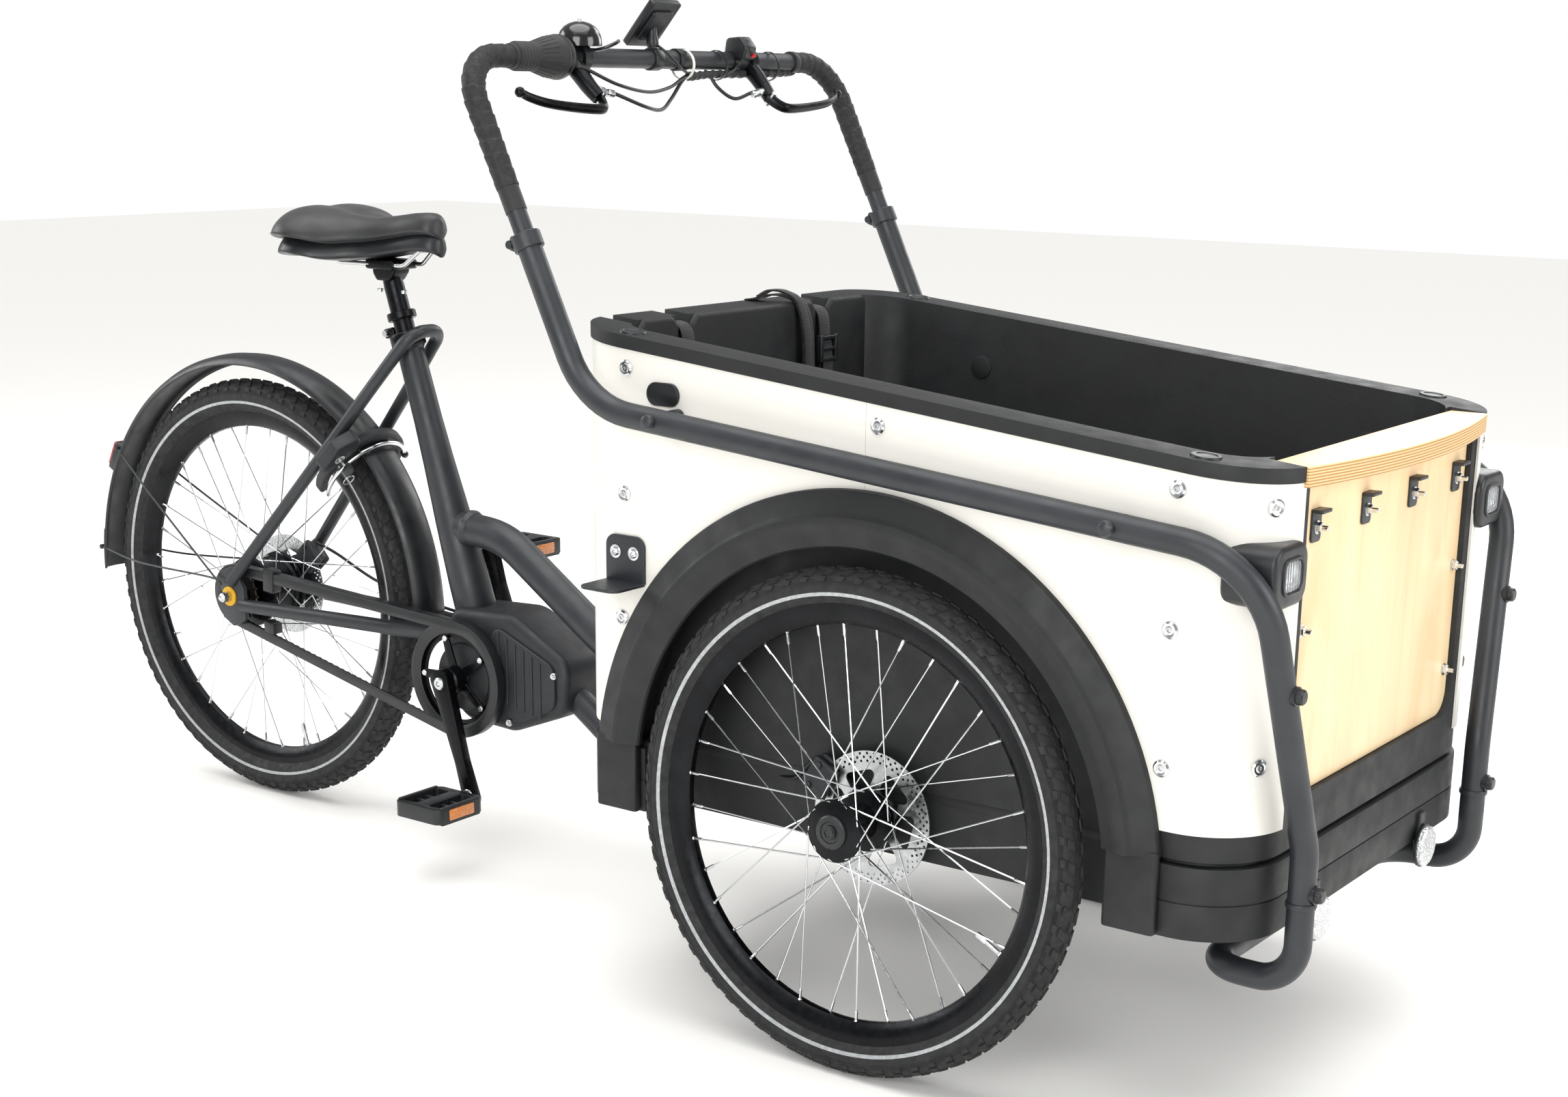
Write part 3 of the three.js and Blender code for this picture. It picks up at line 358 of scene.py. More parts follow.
def circle(radius, sides, phase=0.0):
    return [(radius * math.cos(phase + 2 * math.pi * k / sides),
        radius * math.sin(phase + 2 * math.pi * k / sides))
            for k in range(sides)]


def pipe(name, route, radius, skin, sides=28):
    ring = circle(radius, sides)
    return sweep(name, route, lambda i, t: ring, skin)


def turned(name, profile, skin, start=(0, 0, 0), along=(0, 1, 0), segments=64, sharp=32, closed=False):
    """Turns (radius, distance) points about the line from start, both in millimetres."""
    axis = Vector(along).normalized()
    helper = Vector((0, 0, 1)) if abs(axis.z) < 0.9 else Vector((1, 0, 0))
    u = axis.cross(helper).normalized()
    v = axis.cross(u)
    base = Vector(start)
    verts, faces, rows = [], [], []
    for radius, distance in profile:
        centre = base + axis * distance * MM
        if radius < 1e-6:
            rows.append([len(verts)])
            verts.append(centre)
            continue
        rows.append(list(range(len(verts), len(verts) + segments)))
        verts += [centre + (u * a + v * b) * MM for a, b in circle(radius, segments)]
    pairs = list(zip(rows, rows[1:])) + ([(rows[-1], rows[0])] if closed else [])
    for low, high in pairs:
        for k in range(segments):
            m = (k + 1) % segments
            corner = [low[k % len(low)], low[m % len(low)], high[m % len(high)], high[k % len(high)]]
            face = list(dict.fromkeys(corner))
            if len(face) > 2:
                faces.append(tuple(face))
    return shape(name, verts, faces, skin, sharp)


def square(x0, y0, x1, y1):
    """The four corners of an upright rectangle, anticlockwise."""
    return [(x0, y0), (x1, y0), (x1, y1), (x0, y1)]


def rounded(corners, radius, steps=8):
    """An outline with its corners rounded; a radius for each corner or one for all."""
    out = []
    n = len(corners)
    for i, corner in enumerate(corners):
        r = radius[i] if isinstance(radius, (list, tuple)) else radius
        here = Vector(corner)
        if r <= 0:
            out.append(tuple(here))
            continue
        a = (Vector(corners[i - 1]) - here).normalized()
        b = (Vector(corners[(i + 1) % n]) - here).normalized()
        half = a.angle(b) / 2
        centre = here + (a + b).normalized() * r / math.sin(half)
        start, end = here + a * r / math.tan(half) - centre, here + b * r / math.tan(half) - centre
        turn = math.atan2(start.x * end.y - start.y * end.x, start.dot(end))
        for k in range(steps + 1):
            c, s = math.cos(turn * k / steps), math.sin(turn * k / steps)
            out.append((centre.x + start.x * c - start.y * s, centre.y + start.x * s + start.y * c))
    return out


def slab(name, outline, low, high, skin, plane="xy", sharp=32):
    """An outline drawn in a plane and given its thickness along the third axis."""
    order = {"xy": lambda a, b, c: at(a, b, c), "xz": lambda a, b, c: at(a, c, b),
        "yz": lambda a, b, c: at(c, a, b)}
    n = len(outline)
    verts = [order[plane](a, b, c) for c in (low, high) for a, b in outline]
    faces = [tuple(range(n)), tuple(range(n, 2 * n))]
    faces += [(k, (k + 1) % n, n + (k + 1) % n, n + k) for k in range(n)]
    return shape(name, verts, faces, skin, sharp)


def moved(made, matrix):
    made.data.transform(matrix)
    if matrix.determinant() < 0:
        made.data.flip_normals()
    return made


def copies(name, part, count, turn=None, skin=None, places=None):
    """Copies a piece with Geometry Nodes: round the Y axis, or to places given as matrices."""
    tree = bpy.data.node_groups.new(name, "GeometryNodeTree")
    tree.interface.new_socket("Geometry", in_out="INPUT", socket_type="NodeSocketGeometry")
    tree.interface.new_socket("Count", in_out="INPUT", socket_type="NodeSocketInt")
    tree.interface.new_socket("Turn", in_out="INPUT", socket_type="NodeSocketFloat")
    tree.interface.new_socket("Part", in_out="INPUT", socket_type="NodeSocketObject")
    tree.interface.new_socket("Material", in_out="INPUT", socket_type="NodeSocketMaterial")
    tree.interface.new_socket("Geometry", in_out="OUTPUT", socket_type="NodeSocketGeometry")
    given = node(tree, "NodeGroupInput").outputs
    original = node(tree, "GeometryNodeObjectInfo", {"Object": given["Part"]})
    if places is None:
        spots = node(tree, "GeometryNodePoints", {"Count": given["Count"]}).outputs[0]
        index = node(tree, "GeometryNodeInputIndex").outputs[0]
        angle = node(tree, "ShaderNodeMath", {0: index, 1: given["Turn"]}, operation="MULTIPLY").outputs[0]
        rotation = node(tree, "ShaderNodeCombineXYZ", {"Y": angle}).outputs[0]
    else:
        spots = given["Geometry"]
        rotation = node(tree, "GeometryNodeInputNamedAttribute", {"Name": "turn"},
            data_type="FLOAT_VECTOR").outputs[0]
    placed = node(tree, "GeometryNodeInstanceOnPoints", {
        "Points": spots, "Instance": original.outputs["Geometry"], "Rotation": rotation})
    real = node(tree, "GeometryNodeRealizeInstances", {"Geometry": placed.outputs[0]})
    dressed = node(tree, "GeometryNodeSetMaterial", {"Geometry": real.outputs[0],
        "Material": given["Material"]})
    node(tree, "NodeGroupOutput", {0: dressed.outputs[0]})

    mesh = bpy.data.meshes.new(name)
    mesh.from_pydata([m.to_translation() for m in places or []], [], [])
    if places is not None:
        turns = mesh.attributes.new("turn", "FLOAT_VECTOR", "POINT")
        for spot, m in zip(turns.data, places):
            spot.vector = m.to_euler()
    made = new_object(name, mesh)
    maker = made.modifiers.new("copies", "NODES")
    maker.node_group = tree
    keys = {item.name: item.identifier for item in tree.interface.items_tree if item.in_out == "INPUT"}
    maker[keys["Count"]] = count
    maker[keys["Turn"]] = turn if turn is not None else 2 * math.pi / max(count, 1)
    maker[keys["Part"]] = part
    maker[keys["Material"]] = skin or part.data.materials[0]
    settle(made)
    made.data.polygons.foreach_set("use_smooth", [True] * len(made.data.polygons))
    bpy.data.objects.remove(part)
    if not made.data.materials:
        made.data.materials.append(skin)
    return made


def give(made, body, slot, *nodes):
    """Lets a piece move with a body and stand for the nodes it redraws. The slot is not used."""
    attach(made, body)
    if nodes:
        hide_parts(*nodes)
    return made


# ---- rear frame tubes ----
# Welded steel tubes: a tapered seat tube, two main tubes to the steering head, wishbone seat
# stays that wrap round the front of the seat tube, and flattened chainstays. The weld beads
# show as soft fillets under a satin black powder coat, which has a faint orange-peel skin.
def powder_coat():
    made, tree, shader, place = new_material("satin black powder coat on steel", "#141619", 0.42, ior=1.5)
    mottle(tree, place, shader, "#202327", "#2a2d31", 60)
    vary_roughness(tree, place, shader, 0.36, 0.5, 25)
    peel = node(tree, "ShaderNodeTexNoise", {"Vector": place, "Scale": 1000 / 1.1, "Detail": 2})
    relief(tree, shader, peel.outputs["Fac"], 0.08, 0.55)
    return made


POWDER = powder_coat()

SEAT_FOOT, SEAT_TOP = at(462, 0, 354), at(331, 0, 763)
seat_axis = (SEAT_TOP - SEAT_FOOT).normalized()
seat_length = (SEAT_TOP - SEAT_FOOT).length / MM
seat_tube = turned("seat_tube_steel", [
    (0, 0), (29, 0), (31, 4), (30.2, 60), (27, 150), (23, 235), (21, 300), (20, seat_length - 26),
    (22.5, seat_length - 22), (22.5, seat_length - 1), (21.5, seat_length), (15.6, seat_length),
    (15.6, seat_length - 240), (0, seat_length - 240),
], POWDER, SEAT_FOOT, seat_axis, 56)
give(seat_tube, "rear_frame", "black_paint", "seat_tube")

upper_tube = pipe("upper_main_tube_steel",
                  bend([(436, 0, 486), (520, 0, 480), (720, 0, 345), (860, 0, 300)], [130, 200]), 24,
                  POWDER, 40)
give(upper_tube, "rear_frame", "black_paint", "upper_main_tube")
lower_tube = pipe("lower_main_tube_steel",
                  bend([(640, 0, 270), (735, 0, 205), (860, 0, 228)], [70]), 20, POWDER, 40)
give(lower_tube, "rear_frame", "black_paint", "lower_main_tube")

head_tube = turned("head_tube_steel", [
    (12.4, 205), (27, 205), (28, 206), (28, 212), (26, 214), (26, 321), (28, 323), (28, 329), (27, 330),
    (12.4, 330),
], POWDER, at(884, 0, 0), (0, 0, 1), 56, closed=True)
give(head_tube, "rear_frame", "black_paint", "head_tube")

stay_side = [(6, -78, 358), (300, -42, 686), (374, -31.5, 769)]
stay_route = bend([*stay_side, *[(x, -y, z) for x, y, z in stay_side[::-1]]], [60, 29, 29, 60])
stays = pipe("seat_stays_steel", stay_route, 9.5, POWDER, 24)
give(stays, "rear_frame", "black_paint", "seat_stays")

# A short bridge and gusset join the two main tubes and the seat tube: brazed collars.
upper_weld = turned("upper_tube_weld", [(24, 0), (27.5, 3), (28, 7), (25.5, 11), (24.2, 14)], POWDER,
                    at(446, 0, 485.5), (1, 0, -0.07), 48)
give(upper_weld, "rear_frame", "black_paint")

for side, suffix in ((-1, "right"), (1, "left")):
    def oval(i, t):
        squeeze = 1 - 0.18 * math.sin(math.pi * t)
        return [(u * squeeze, v / squeeze) for u, v in circle(10.5, 24)]
    stay = sweep(f"chainstay_{suffix}_tube", bend(
        [(22, side * 72, 322), (330, side * 47, 326), (400, side * 31, 328), (450, side * 31, 329)],
        [60, 60]),
        oval, POWDER)
    plate = slab(f"dropout_{suffix}", rounded(
        [(-20, 300), (-22, 372), (10, 384), (32, 350), (34, 300), (6, 286)], 10), side * 72 - 4,
        side * 72 + 4,
        POWDER, "xz")
    notch = slab("notch", rounded(square(-40, 329, 6, 340), 5.2), side * 72 - 9, side * 72 + 9,
                 POWDER, "xz")
    plate = soften(combine(plate, [notch]), 1.2, 2)
    give(gather(f"chainstay_{suffix}_steel", [stay, plate]), "rear_frame", "black_paint",
        f"chainstay_{suffix}")


# ---- rear axle and its hardware ----
# A hollow hub-gear axle of zinc-plated steel, with a domed chrome nut and a yellow keyed
# washer on the chain side, and a plain nut on the other.
def zinc_steel():
    made, tree, shader, place = new_material("zinc-plated steel", "#c9cbcc", 0.24, 1.0)
    brushed = node(tree, "ShaderNodeMapping", {"Vector": place, "Scale": (900, 140, 900)})
    lines = node(tree, "ShaderNodeTexNoise", {"Vector": brushed.outputs[0], "Scale": 1.0, "Detail": 3})
    vary_roughness(tree, place, shader, 0.16, 0.36, 4)
    relief(tree, shader, lines.outputs["Fac"], 0.03, 0.35)
    return made


def yellow_nylon():
    made, tree, shader, place = new_material("yellow moulded nylon", "#d8a514", 0.42)
    mottle(tree, place, shader, "#c99410", "#e3b022", 6)
    return made


ZINC = zinc_steel()
YELLOW = yellow_nylon()
wheel_centre = at(0, 0, REAR_AXLE[2] / MM)
axle = turned("rear_axle_steel", [
    (0, -94), (4, -94), (5, -93), (5, -76.5), (5, 76.5), (5, 91), (4, 92), (0, 92)], ZINC, wheel_centre,
    (0, 1, 0), 32)
hexagon = circle(8.6, 6)
nut_right = soften(slab("nut", [(x, z + REAR_AXLE[2] / MM) for x, z in hexagon], -88, -79, ZINC, "xz"), 0.8,
    2)
nut_left = soften(slab("nut", [(x, z + REAR_AXLE[2] / MM) for x, z in hexagon], 79, 88, ZINC, "xz"), 0.8, 2)
dome = turned("dome", [(0, -97), (4, -96), (7.2, -92.5), (8, -88), (8, -87), (0, -87)], ZINC, wheel_centre,
    (0, 1, 0), 32)
washer = turned("washer", [(5.4, -79), (15, -79), (15.6, -78), (15.6, -76.6), (5.4, -76.6)], YELLOW,
                wheel_centre, (0, 1, 0), 40, closed=True)
axle = gather("rear_axle_and_nuts", [axle, nut_right, nut_left, dome, washer])
give(axle, "rear_frame", "steel", "rear_axle")


# ---- motor ----
# A mid motor in a moulded glass-filled nylon shell, bolted between the seat tube and the
# lower tube, with a round side cover over the crank bearing and a fine spark-grain surface.
def moulded_nylon():
    made, tree, shader, place = new_material("spark-grained black nylon", "#101214", 0.5)
    mottle(tree, place, shader, "#191b1e", "#222428", 35)
    grain = node(tree, "ShaderNodeTexNoise", {"Vector": place, "Scale": 1000 / 0.9, "Detail": 3})
    relief(tree, shader, grain.outputs["Fac"], 0.12, 0.6)
    vary_roughness(tree, place, shader, 0.44, 0.6, 18)
    return made


NYLON = moulded_nylon()
motor_outline = rounded([(432, 318), (440, 372), (560, 378), (672, 318), (662, 240), (560, 200),
    (448, 205)],
                        [20, 24, 60, 34, 30, 40, 45], 12)
core = soften(slab("motor_core", motor_outline, -40.5, 49.5, NYLON, "xz"), 13, 6)
CRANK = at(470, 0, 271)
cover_right = turned("cover_right", [(0, -46), (44, -46), (50, -44), (52, -40), (52, -30), (0, -30)], NYLON,
    CRANK)
cover_left = turned("cover_left", [(0, 56), (40, 56), (50, 53), (56, 46), (56, 30), (0, 30)], NYLON, CRANK)
lid_outline = rounded([(528, 362), (650, 312), (650, 250), (566, 214), (528, 262)], [16, 26, 24, 30, 20],
    10)
lid_right = soften(slab("lid_right", lid_outline, -45.5, -38, NYLON, "xz"), 3, 3)
lid_left = soften(slab("lid_left", lid_outline, 46, 54.5, NYLON, "xz"), 3, 3)
cooling = [soften(slab("rib", rounded(
    [(540 + 16 * k, 352 - 7 * k), (545 + 16 * k, 350 - 7 * k), (545 + 16 * k, 246 - 3 * k),
    (540 + 16 * k, 246 - 3 * k)],
    2, 4), -47, -44, NYLON, "xz"), 0.8, 2) for k in range(6)]
mount_bolts = []
for x, z in ((452, 352), (560, 216), (648, 300), (452, 222)):
    for side, face in ((-1, -45), (1, 54)):
        head = turned("bolt", [(0, 3.5), (2.6, 3.5), (2.6, 0.8), (4.6, 0.8), (5.2, 0), (5.2, -6), (0, -6)],
            ZINC,
                      at(x, face, z), (0, side, 0), 24)
        mount_bolts.append(head)
motor = gather("mid_motor", [core, cover_right, cover_left, lid_right, lid_left, *cooling, *mount_bolts])
give(motor, "rear_frame", "moulded_black", "motor_housing")


# ---- chain case and chain ----
# A long flat case of two clipped ABS halves round each run of the chain, with a wide round
# guard at the chainring, a joint line near the hub and a small red cap over the inspection hole.
def satin_abs():
    made, tree, shader, place = new_material("satin black ABS", "#0e0f11", 0.36)
    mottle(tree, place, shader, "#141618", "#1d1f22", 50)
    vary_roughness(tree, place, shader, 0.28, 0.46, 22)
    grain = node(tree, "ShaderNodeTexNoise", {"Vector": place, "Scale": 1000 / 0.6, "Detail": 2})
    relief(tree, shader, grain.outputs["Fac"], 0.05, 0.4)
    return made


def red_cap_plastic():
    made, tree, shader, place = new_material("red moulded plastic", "#c4161a", 0.35)
    mottle(tree, place, shader, "#b01216", "#cf2024", 3)
    return made


ABS = satin_abs()
RED = red_cap_plastic()
RING_X, RING_Z = 470, 271 - REAR_AXLE[2] / MM


def round_both(ring_radius, sprocket_radius, steps=40):
    """The outline of a belt round the chainring and the sprocket, in (x, z)."""
    span = math.hypot(RING_X, RING_Z)
    heading = math.atan2(RING_Z, RING_X)
    lean = math.acos((sprocket_radius - ring_radius) / span)
    points = [(RING_X + ring_radius * math.cos(heading - lean + 2 * lean * k / steps),
               RING_Z + ring_radius * math.sin(heading - lean + 2 * lean * k / steps))
               for k in range(steps + 1)]
    turn = 2 * math.pi - 2 * lean
    points += [(sprocket_radius * math.cos(heading + lean + turn * k / steps),
                sprocket_radius * math.sin(heading + lean + turn * k / steps)) for k in range(steps + 1)]
    return [(x, z + REAR_AXLE[2] / MM) for x, z in points]


shell = slab("case", round_both(88, 49), -65, -47, ABS, "xz")
inner = slab("inner", round_both(72, 33), -70, -40, ABS, "xz")
channel = slab("channel", round_both(84.5, 45.5), -62.6, -40, ABS, "xz")
case = combine(shell, [inner, channel])
case = soften(case, 2.2, 3, 50)
clip = turned("clip", [(0, 0), (3.2, 0), (3.8, -1), (3.8, -4), (0, -4)], RED, at(74, -65, 372), (0, -1, 0),
    24)
joint = soften(slab("joint", rounded([(66, 350), (88, 348), (90, 384), (68, 386)], 3), -66.6, -48, ABS,
    "xz"), 1.2, 2)
lower_joint = soften(slab("joint", rounded([(66, 285), (88, 282), (86, 300), (64, 303)], 3), -66.6, -48,
    ABS, "xz"), 1.2, 2)
give(gather("chain_case_shell", [case, joint, lower_joint, clip]), "rear_frame", "moulded_black",
    "chain_case")


def oiled_chain_steel():
    made, tree, shader, place = new_material("oiled chain steel", "#5b564f", 0.35, 1.0)
    mottle(tree, place, shader, "#4b463f", "#767067", 2.5)
    vary_roughness(tree, place, shader, 0.25, 0.5, 2)
    return made


CHAIN_STEEL = oiled_chain_steel()
PITCH = 12.7
belt_line = [at(x, -55, z) for x, z in round_both(81.2, 41.4, 60)]


def along_loop(points, step):
    """Places at an even step round a closed loop, with the direction at each."""
    total = sum((b - a).length for a, b in zip(points, points[1:] + points[:1]))
    count = round(total / step)
    gap = total / count
    out, walked, target = [], 0.0, 0.0
    for a, b in zip(points, points[1:] + points[:1]):
        length = (b - a).length
        while length and target <= walked + length and len(out) < count:
            out.append((a + (b - a) * ((target - walked) / length), (b - a).normalized()))
            target += gap
        walked += length
    return out


def chain_link():
    plates = []
    for y in (-3.1, 3.1):
        left = [(-PITCH / 2 + 3.9 * math.cos(a), 3.9 * math.sin(a))
            for a in [math.pi * (0.5 + k / 5) for k in range(6)]]
        right = [(PITCH / 2 - x - PITCH / 2, -z) for x, z in left]
        outline = left + [(0, -2.6)] + right + [(0, 2.6)]
        n = len(outline)
        verts = [Vector((a, y + s, c)) * MM for s in (-0.6, 0.6) for a, c in outline]
        faces = [tuple(range(n)), tuple(range(n, 2 * n))]
        faces += [(k, (k + 1) % n, n + (k + 1) % n, n + k) for k in range(n)]
        plates.append(shape("plate", verts, faces, CHAIN_STEEL))
    roller = turned("roller", square(0, -4, 3.7, 4), CHAIN_STEEL, (PITCH / 2 * MM, 0, 0), (0, 1, 0), 10)
    return gather("chain_link", [*plates, roller])


spots = []
for here, heading in along_loop(belt_line, PITCH * MM):
    spots.append(Matrix.Translation(here) @ Matrix.Rotation(-math.atan2(heading.z, heading.x), 4, "Y"))
chain = copies("roller_chain", chain_link(), len(spots), places=spots)
give(chain, "rear_frame", "steel", "drive_chain")


# ---- rear mudguard ----
# A thermoplastic guard with a rolled edge, held by two pairs of black wire stays, with a red
# tail lamp on its rear and a soft flap at its end.
guard_section = [(358, -31), (357.2, -30), (360.5, -29.4), (366, -24), (370, -15), (371.8, 0), (370, 15),
    (366, 24),
                 (360.5, 29.4), (357.2, 30), (358, 31), (359.8, 31.8), (362.5, 30.6), (368, 25.6),
                 (372.4, 16),
                 (374.2, 0), (372.4, -16), (368, -25.6), (362.5, -30.6), (359.8, -31.8)]


def arc_band(name, section, first, last, skin, centre, steps=72, sharp=40):
    """A section of (radius, y) points swept round an axle from one angle to another, in degrees."""
    n = len(section)
    verts, faces = [], []
    for i in range(steps + 1):
        turn = math.radians(first + (last - first) * i / steps)
        verts += [centre + Vector((r * math.cos(turn), y, r * math.sin(turn))) * MM for r, y in section]
    for i in range(steps):
        faces += [(i * n + k, i * n + (k + 1) % n, (i + 1) * n + (k + 1) % n, (i + 1) * n + k)
            for k in range(n)]
    faces += [tuple(range(n)), tuple(range(steps * n, steps * n + n))]
    return shape(name, verts, faces, skin, sharp)


guard = arc_band("mudguard", guard_section, 1.5, 178, ABS, wheel_centre, 90)
flap = arc_band("flap", [(r + 1.2, y * 1.02) for r, y in guard_section], 171, 181.5, NYLON, wheel_centre, 8)
give(gather("rear_mudguard_shell", [guard, flap]), "rear_frame", "moulded_black", "rear_mudguard")

wires = []
for side in (-1, 1):
    for turn in (148, 176):
        c, s = math.cos(math.radians(turn)), math.sin(math.radians(turn))
        z0 = REAR_AXLE[2] / MM
        end = (373 * c, side * 27, z0 + 373 * s)
        wires.append(pipe("stay", flowing([(-14, side * 80, 352), (-40, side * 79, z0 + 24 + 20 * s),
                                           (250 * c, side * 47, z0 + 250 * s), end]), 1.7, POWDER, 10))
        wires.append(turned("stay_end", [(0, -5), (3.4, -5), (4, -3.4), (4, 3), (0, 4)], ABS, at(*end),
            (0, side, 0), 16))
give(gather("mudguard_stays", wires), "rear_frame", "black_paint")


def tail_lens():
    made, tree, shader, place = new_material("red acrylic lens", "#b0141a", 0.12, ior=1.49, Coat_Weight=0.6,
                                             Coat_Roughness=0.05)
    wave = node(tree, "ShaderNodeTexVoronoi", {"Vector": place, "Scale": 1000 / 3.2})
    relief(tree, shader, wave.outputs["Distance"], 0.8, 0.8)
    return made


TAIL_RED = tail_lens()
lamp_turn = Matrix.Translation(wheel_centre) @ Matrix.Rotation(math.radians(-(180 - 28)), 4, "Y")
tail_body = soften(shape("tail_body", [Vector((x, y, z)) * MM for x in (372, 392) for y in (-17, 17)
    for z in (-26, 26)],
                         BLOCK_FACES, ABS), 5, 4)
tail_glass = soften(shape("tail_glass", [Vector((x, y, z)) * MM for x in (388, 397) for y in (-14, 14)
    for z in (-22, 22)],
                          BLOCK_FACES,
                          TAIL_RED), 3.5, 4)
tail_lamp = moved(gather("tail_lamp", [tail_body, tail_glass]), lamp_turn)
give(tail_lamp, "rear_frame", "moulded_black")


# ---- tyres ----
# Treaded black rubber on a round casing: a ribbed centre, angled shoulder blocks, fine ribs
# on the shoulder and a narrow grey reflective stripe on each wall. Moulded, so it is matt,
# with a dry grey bloom where it has been handled.
def tyre_rubber():
    made, tree, shader, place = new_material("moulded tyre rubber", "#101011", 0.72)
    mottle(tree, place, shader, "#121213", "#1f1f20", 14)
    vary_roughness(tree, place, shader, 0.6, 0.85, 9)
    grain = node(tree, "ShaderNodeTexNoise", {"Vector": place, "Scale": 1000 / 0.8, "Detail": 3})
    relief(tree, shader, grain.outputs["Fac"], 0.1, 0.6)
    return made


def reflective_stripe():
    made, tree, shader, place = new_material("grey reflective tyre stripe", "#a9acae", 0.45, 0.35)
    beads = node(tree, "ShaderNodeTexVoronoi", {"Vector": place, "Scale": 1000 / 0.9})
    relief(tree, shader, beads.outputs["Distance"], 0.05, 0.6)
    mottle(tree, place, shader, "#9a9d9f", "#b9bcbe", 5)
    return made


RUBBER = tyre_rubber()
STRIPE = reflective_stripe()


def on_casing(radius, width, along, across, lift):
    """A point of the tread: along and across it in millimetres, lifted off the casing."""
    bow = width / 2 - 2.2
    lean = across / bow
    reach = radius - 2.2 - bow + (bow + lift) * math.cos(lean)
    turn = along / radius
    return Vector((reach * math.cos(turn), (bow + lift) * math.sin(lean), reach * math.sin(turn))) * MM


def tread_block(radius, width, corners):
    inset = [(a + (sum(p[0] for p in corners) / 4 - a) * 0.14,
        c + (sum(p[1] for p in corners) / 4 - c) * 0.14)
             for a, c in corners]
    verts = [on_casing(radius, width, a, c, -0.6) for a, c in corners]
    verts += [on_casing(radius, width, a, c, 2.0) for a, c in inset]
    faces = [(0, 3, 2, 1), (4, 5, 6, 7)] + [(k, (k + 1) % 4, 4 + (k + 1) % 4, 4 + k) for k in range(4)]
    return shape("block", verts, faces, RUBBER, 25)


def make_tyre(radius, width, stripe_radius, count):
    bow = width / 2 - 2.2
    middle = radius - 2.2 - bow
    bead = radius - width
    profile = []
    for k in range(37):
        lean = math.radians(-128 + 256 * k / 36)
        profile.append((middle + bow * math.cos(lean), bow * math.sin(lean)))
    profile += [(bead + 1.5, 11), (bead, 9), (bead, -9), (bead + 1.5, -11)]
    casing = turned("casing", profile, RUBBER, segments=120, closed=True)
    pitch = 2 * math.pi * radius / count
    w = bow * 1.05
    unit = [
        [(0.06, 0.06), (0.60, 0.10), (0.40, 0.34), (-0.10, 0.30)],
        [(0.56, -0.06), (1.10, -0.10), (0.90, -0.34), (0.40, -0.30)],
        [(0.42, 0.42), (0.86, 0.44), (0.62, 0.84), (0.16, 0.80)],
        [(-0.10, -0.42), (0.34, -0.44), (0.10, -0.84), (-0.34, -0.80)],
        [(0.14, 0.90), (0.56, 0.92), (0.46, 1.16), (0.06, 1.14)],
        [(-0.36, -0.90), (0.06, -0.92), (-0.04, -1.16), (-0.44, -1.14)],
    ]
    blocks = gather("tread_unit", [tread_block(radius, width, [(a * pitch, c * w) for a, c in corners])
        for corners in unit])
    tread = copies("tread", blocks, count, skin=RUBBER)
    ribs = []
    for k in range(5):
        for s in (-1, 1):
            lean = math.radians(62 + 3.4 * k)
            r, y = middle + (bow + 0.1) * math.cos(lean), s * (bow + 0.1) * math.sin(lean)
            ribs.append(turned("rib", square(r - 0.5, y - 0.4, r + 0.5, y + 0.4),
                               RUBBER, segments=96, closed=True))
    stripes = []
    for s in (-1, 1):
        offset = stripe_radius - middle
        half = 2.1
        band = []
        for r in (offset - half, offset + half):
            band.append((middle + r, s * math.sqrt((bow + 0.35) ** 2 - r * r)))
        inner = [(r, y - s * 0.8) for r, y in band[::-1]]
        stripes.append(turned("stripe", band + inner, STRIPE, segments=120, closed=True))
    return gather("tyre", [casing, tread, *ribs, *stripes])


# ---- rims, spokes, hubs and discs ----
# Black anodised double-wall rims laced with 36 stainless spokes in nickel-plated brass
# nipples, black hub shells and drilled stainless brake discs with a black carrier.
def black_anodised():
    made, tree, shader, place = new_material("black anodised aluminium", "#141517", 0.3, 0.75)
    mottle(tree, place, shader, "#101113", "#1b1c1f", 40)
    vary_roughness(tree, place, shader, 0.22, 0.38, 8)
    blast = node(tree, "ShaderNodeTexNoise", {"Vector": place, "Scale": 1000 / 0.35, "Detail": 2})
    relief(tree, shader, blast.outputs["Fac"], 0.03, 0.35)
    return made


def stainless():
    made, tree, shader, place = new_material("polished stainless steel", "#d4d6d8", 0.18, 1.0)
    streak = node(tree, "ShaderNodeTexNoise", {"Vector": place, "Scale": 1000 / 2.5, "Detail": 4})
    relief(tree, shader, streak.outputs["Fac"], 0.02, 0.3)
    vary_roughness(tree, place, shader, 0.12, 0.26, 5)
    return made


def ground_stainless():
    made, tree, shader, place = new_material("ground stainless brake disc", "#b9bbbd", 0.28, 1.0)
    grind = node(tree, "ShaderNodeTexWave", {"Vector": place, "Scale": 1000 / 6, "Distortion": 9,
        "Detail": 3},
                 wave_type="RINGS", rings_direction="SPHERICAL")
    relief(tree, shader, grind.outputs["Fac"], 0.02, 0.4)
    vary_roughness(tree, place, shader, 0.2, 0.4, 7)
    return made


ANODISED = black_anodised()
STAINLESS = stainless()
DISC_STEEL = ground_stainless()
SPOKES = 36


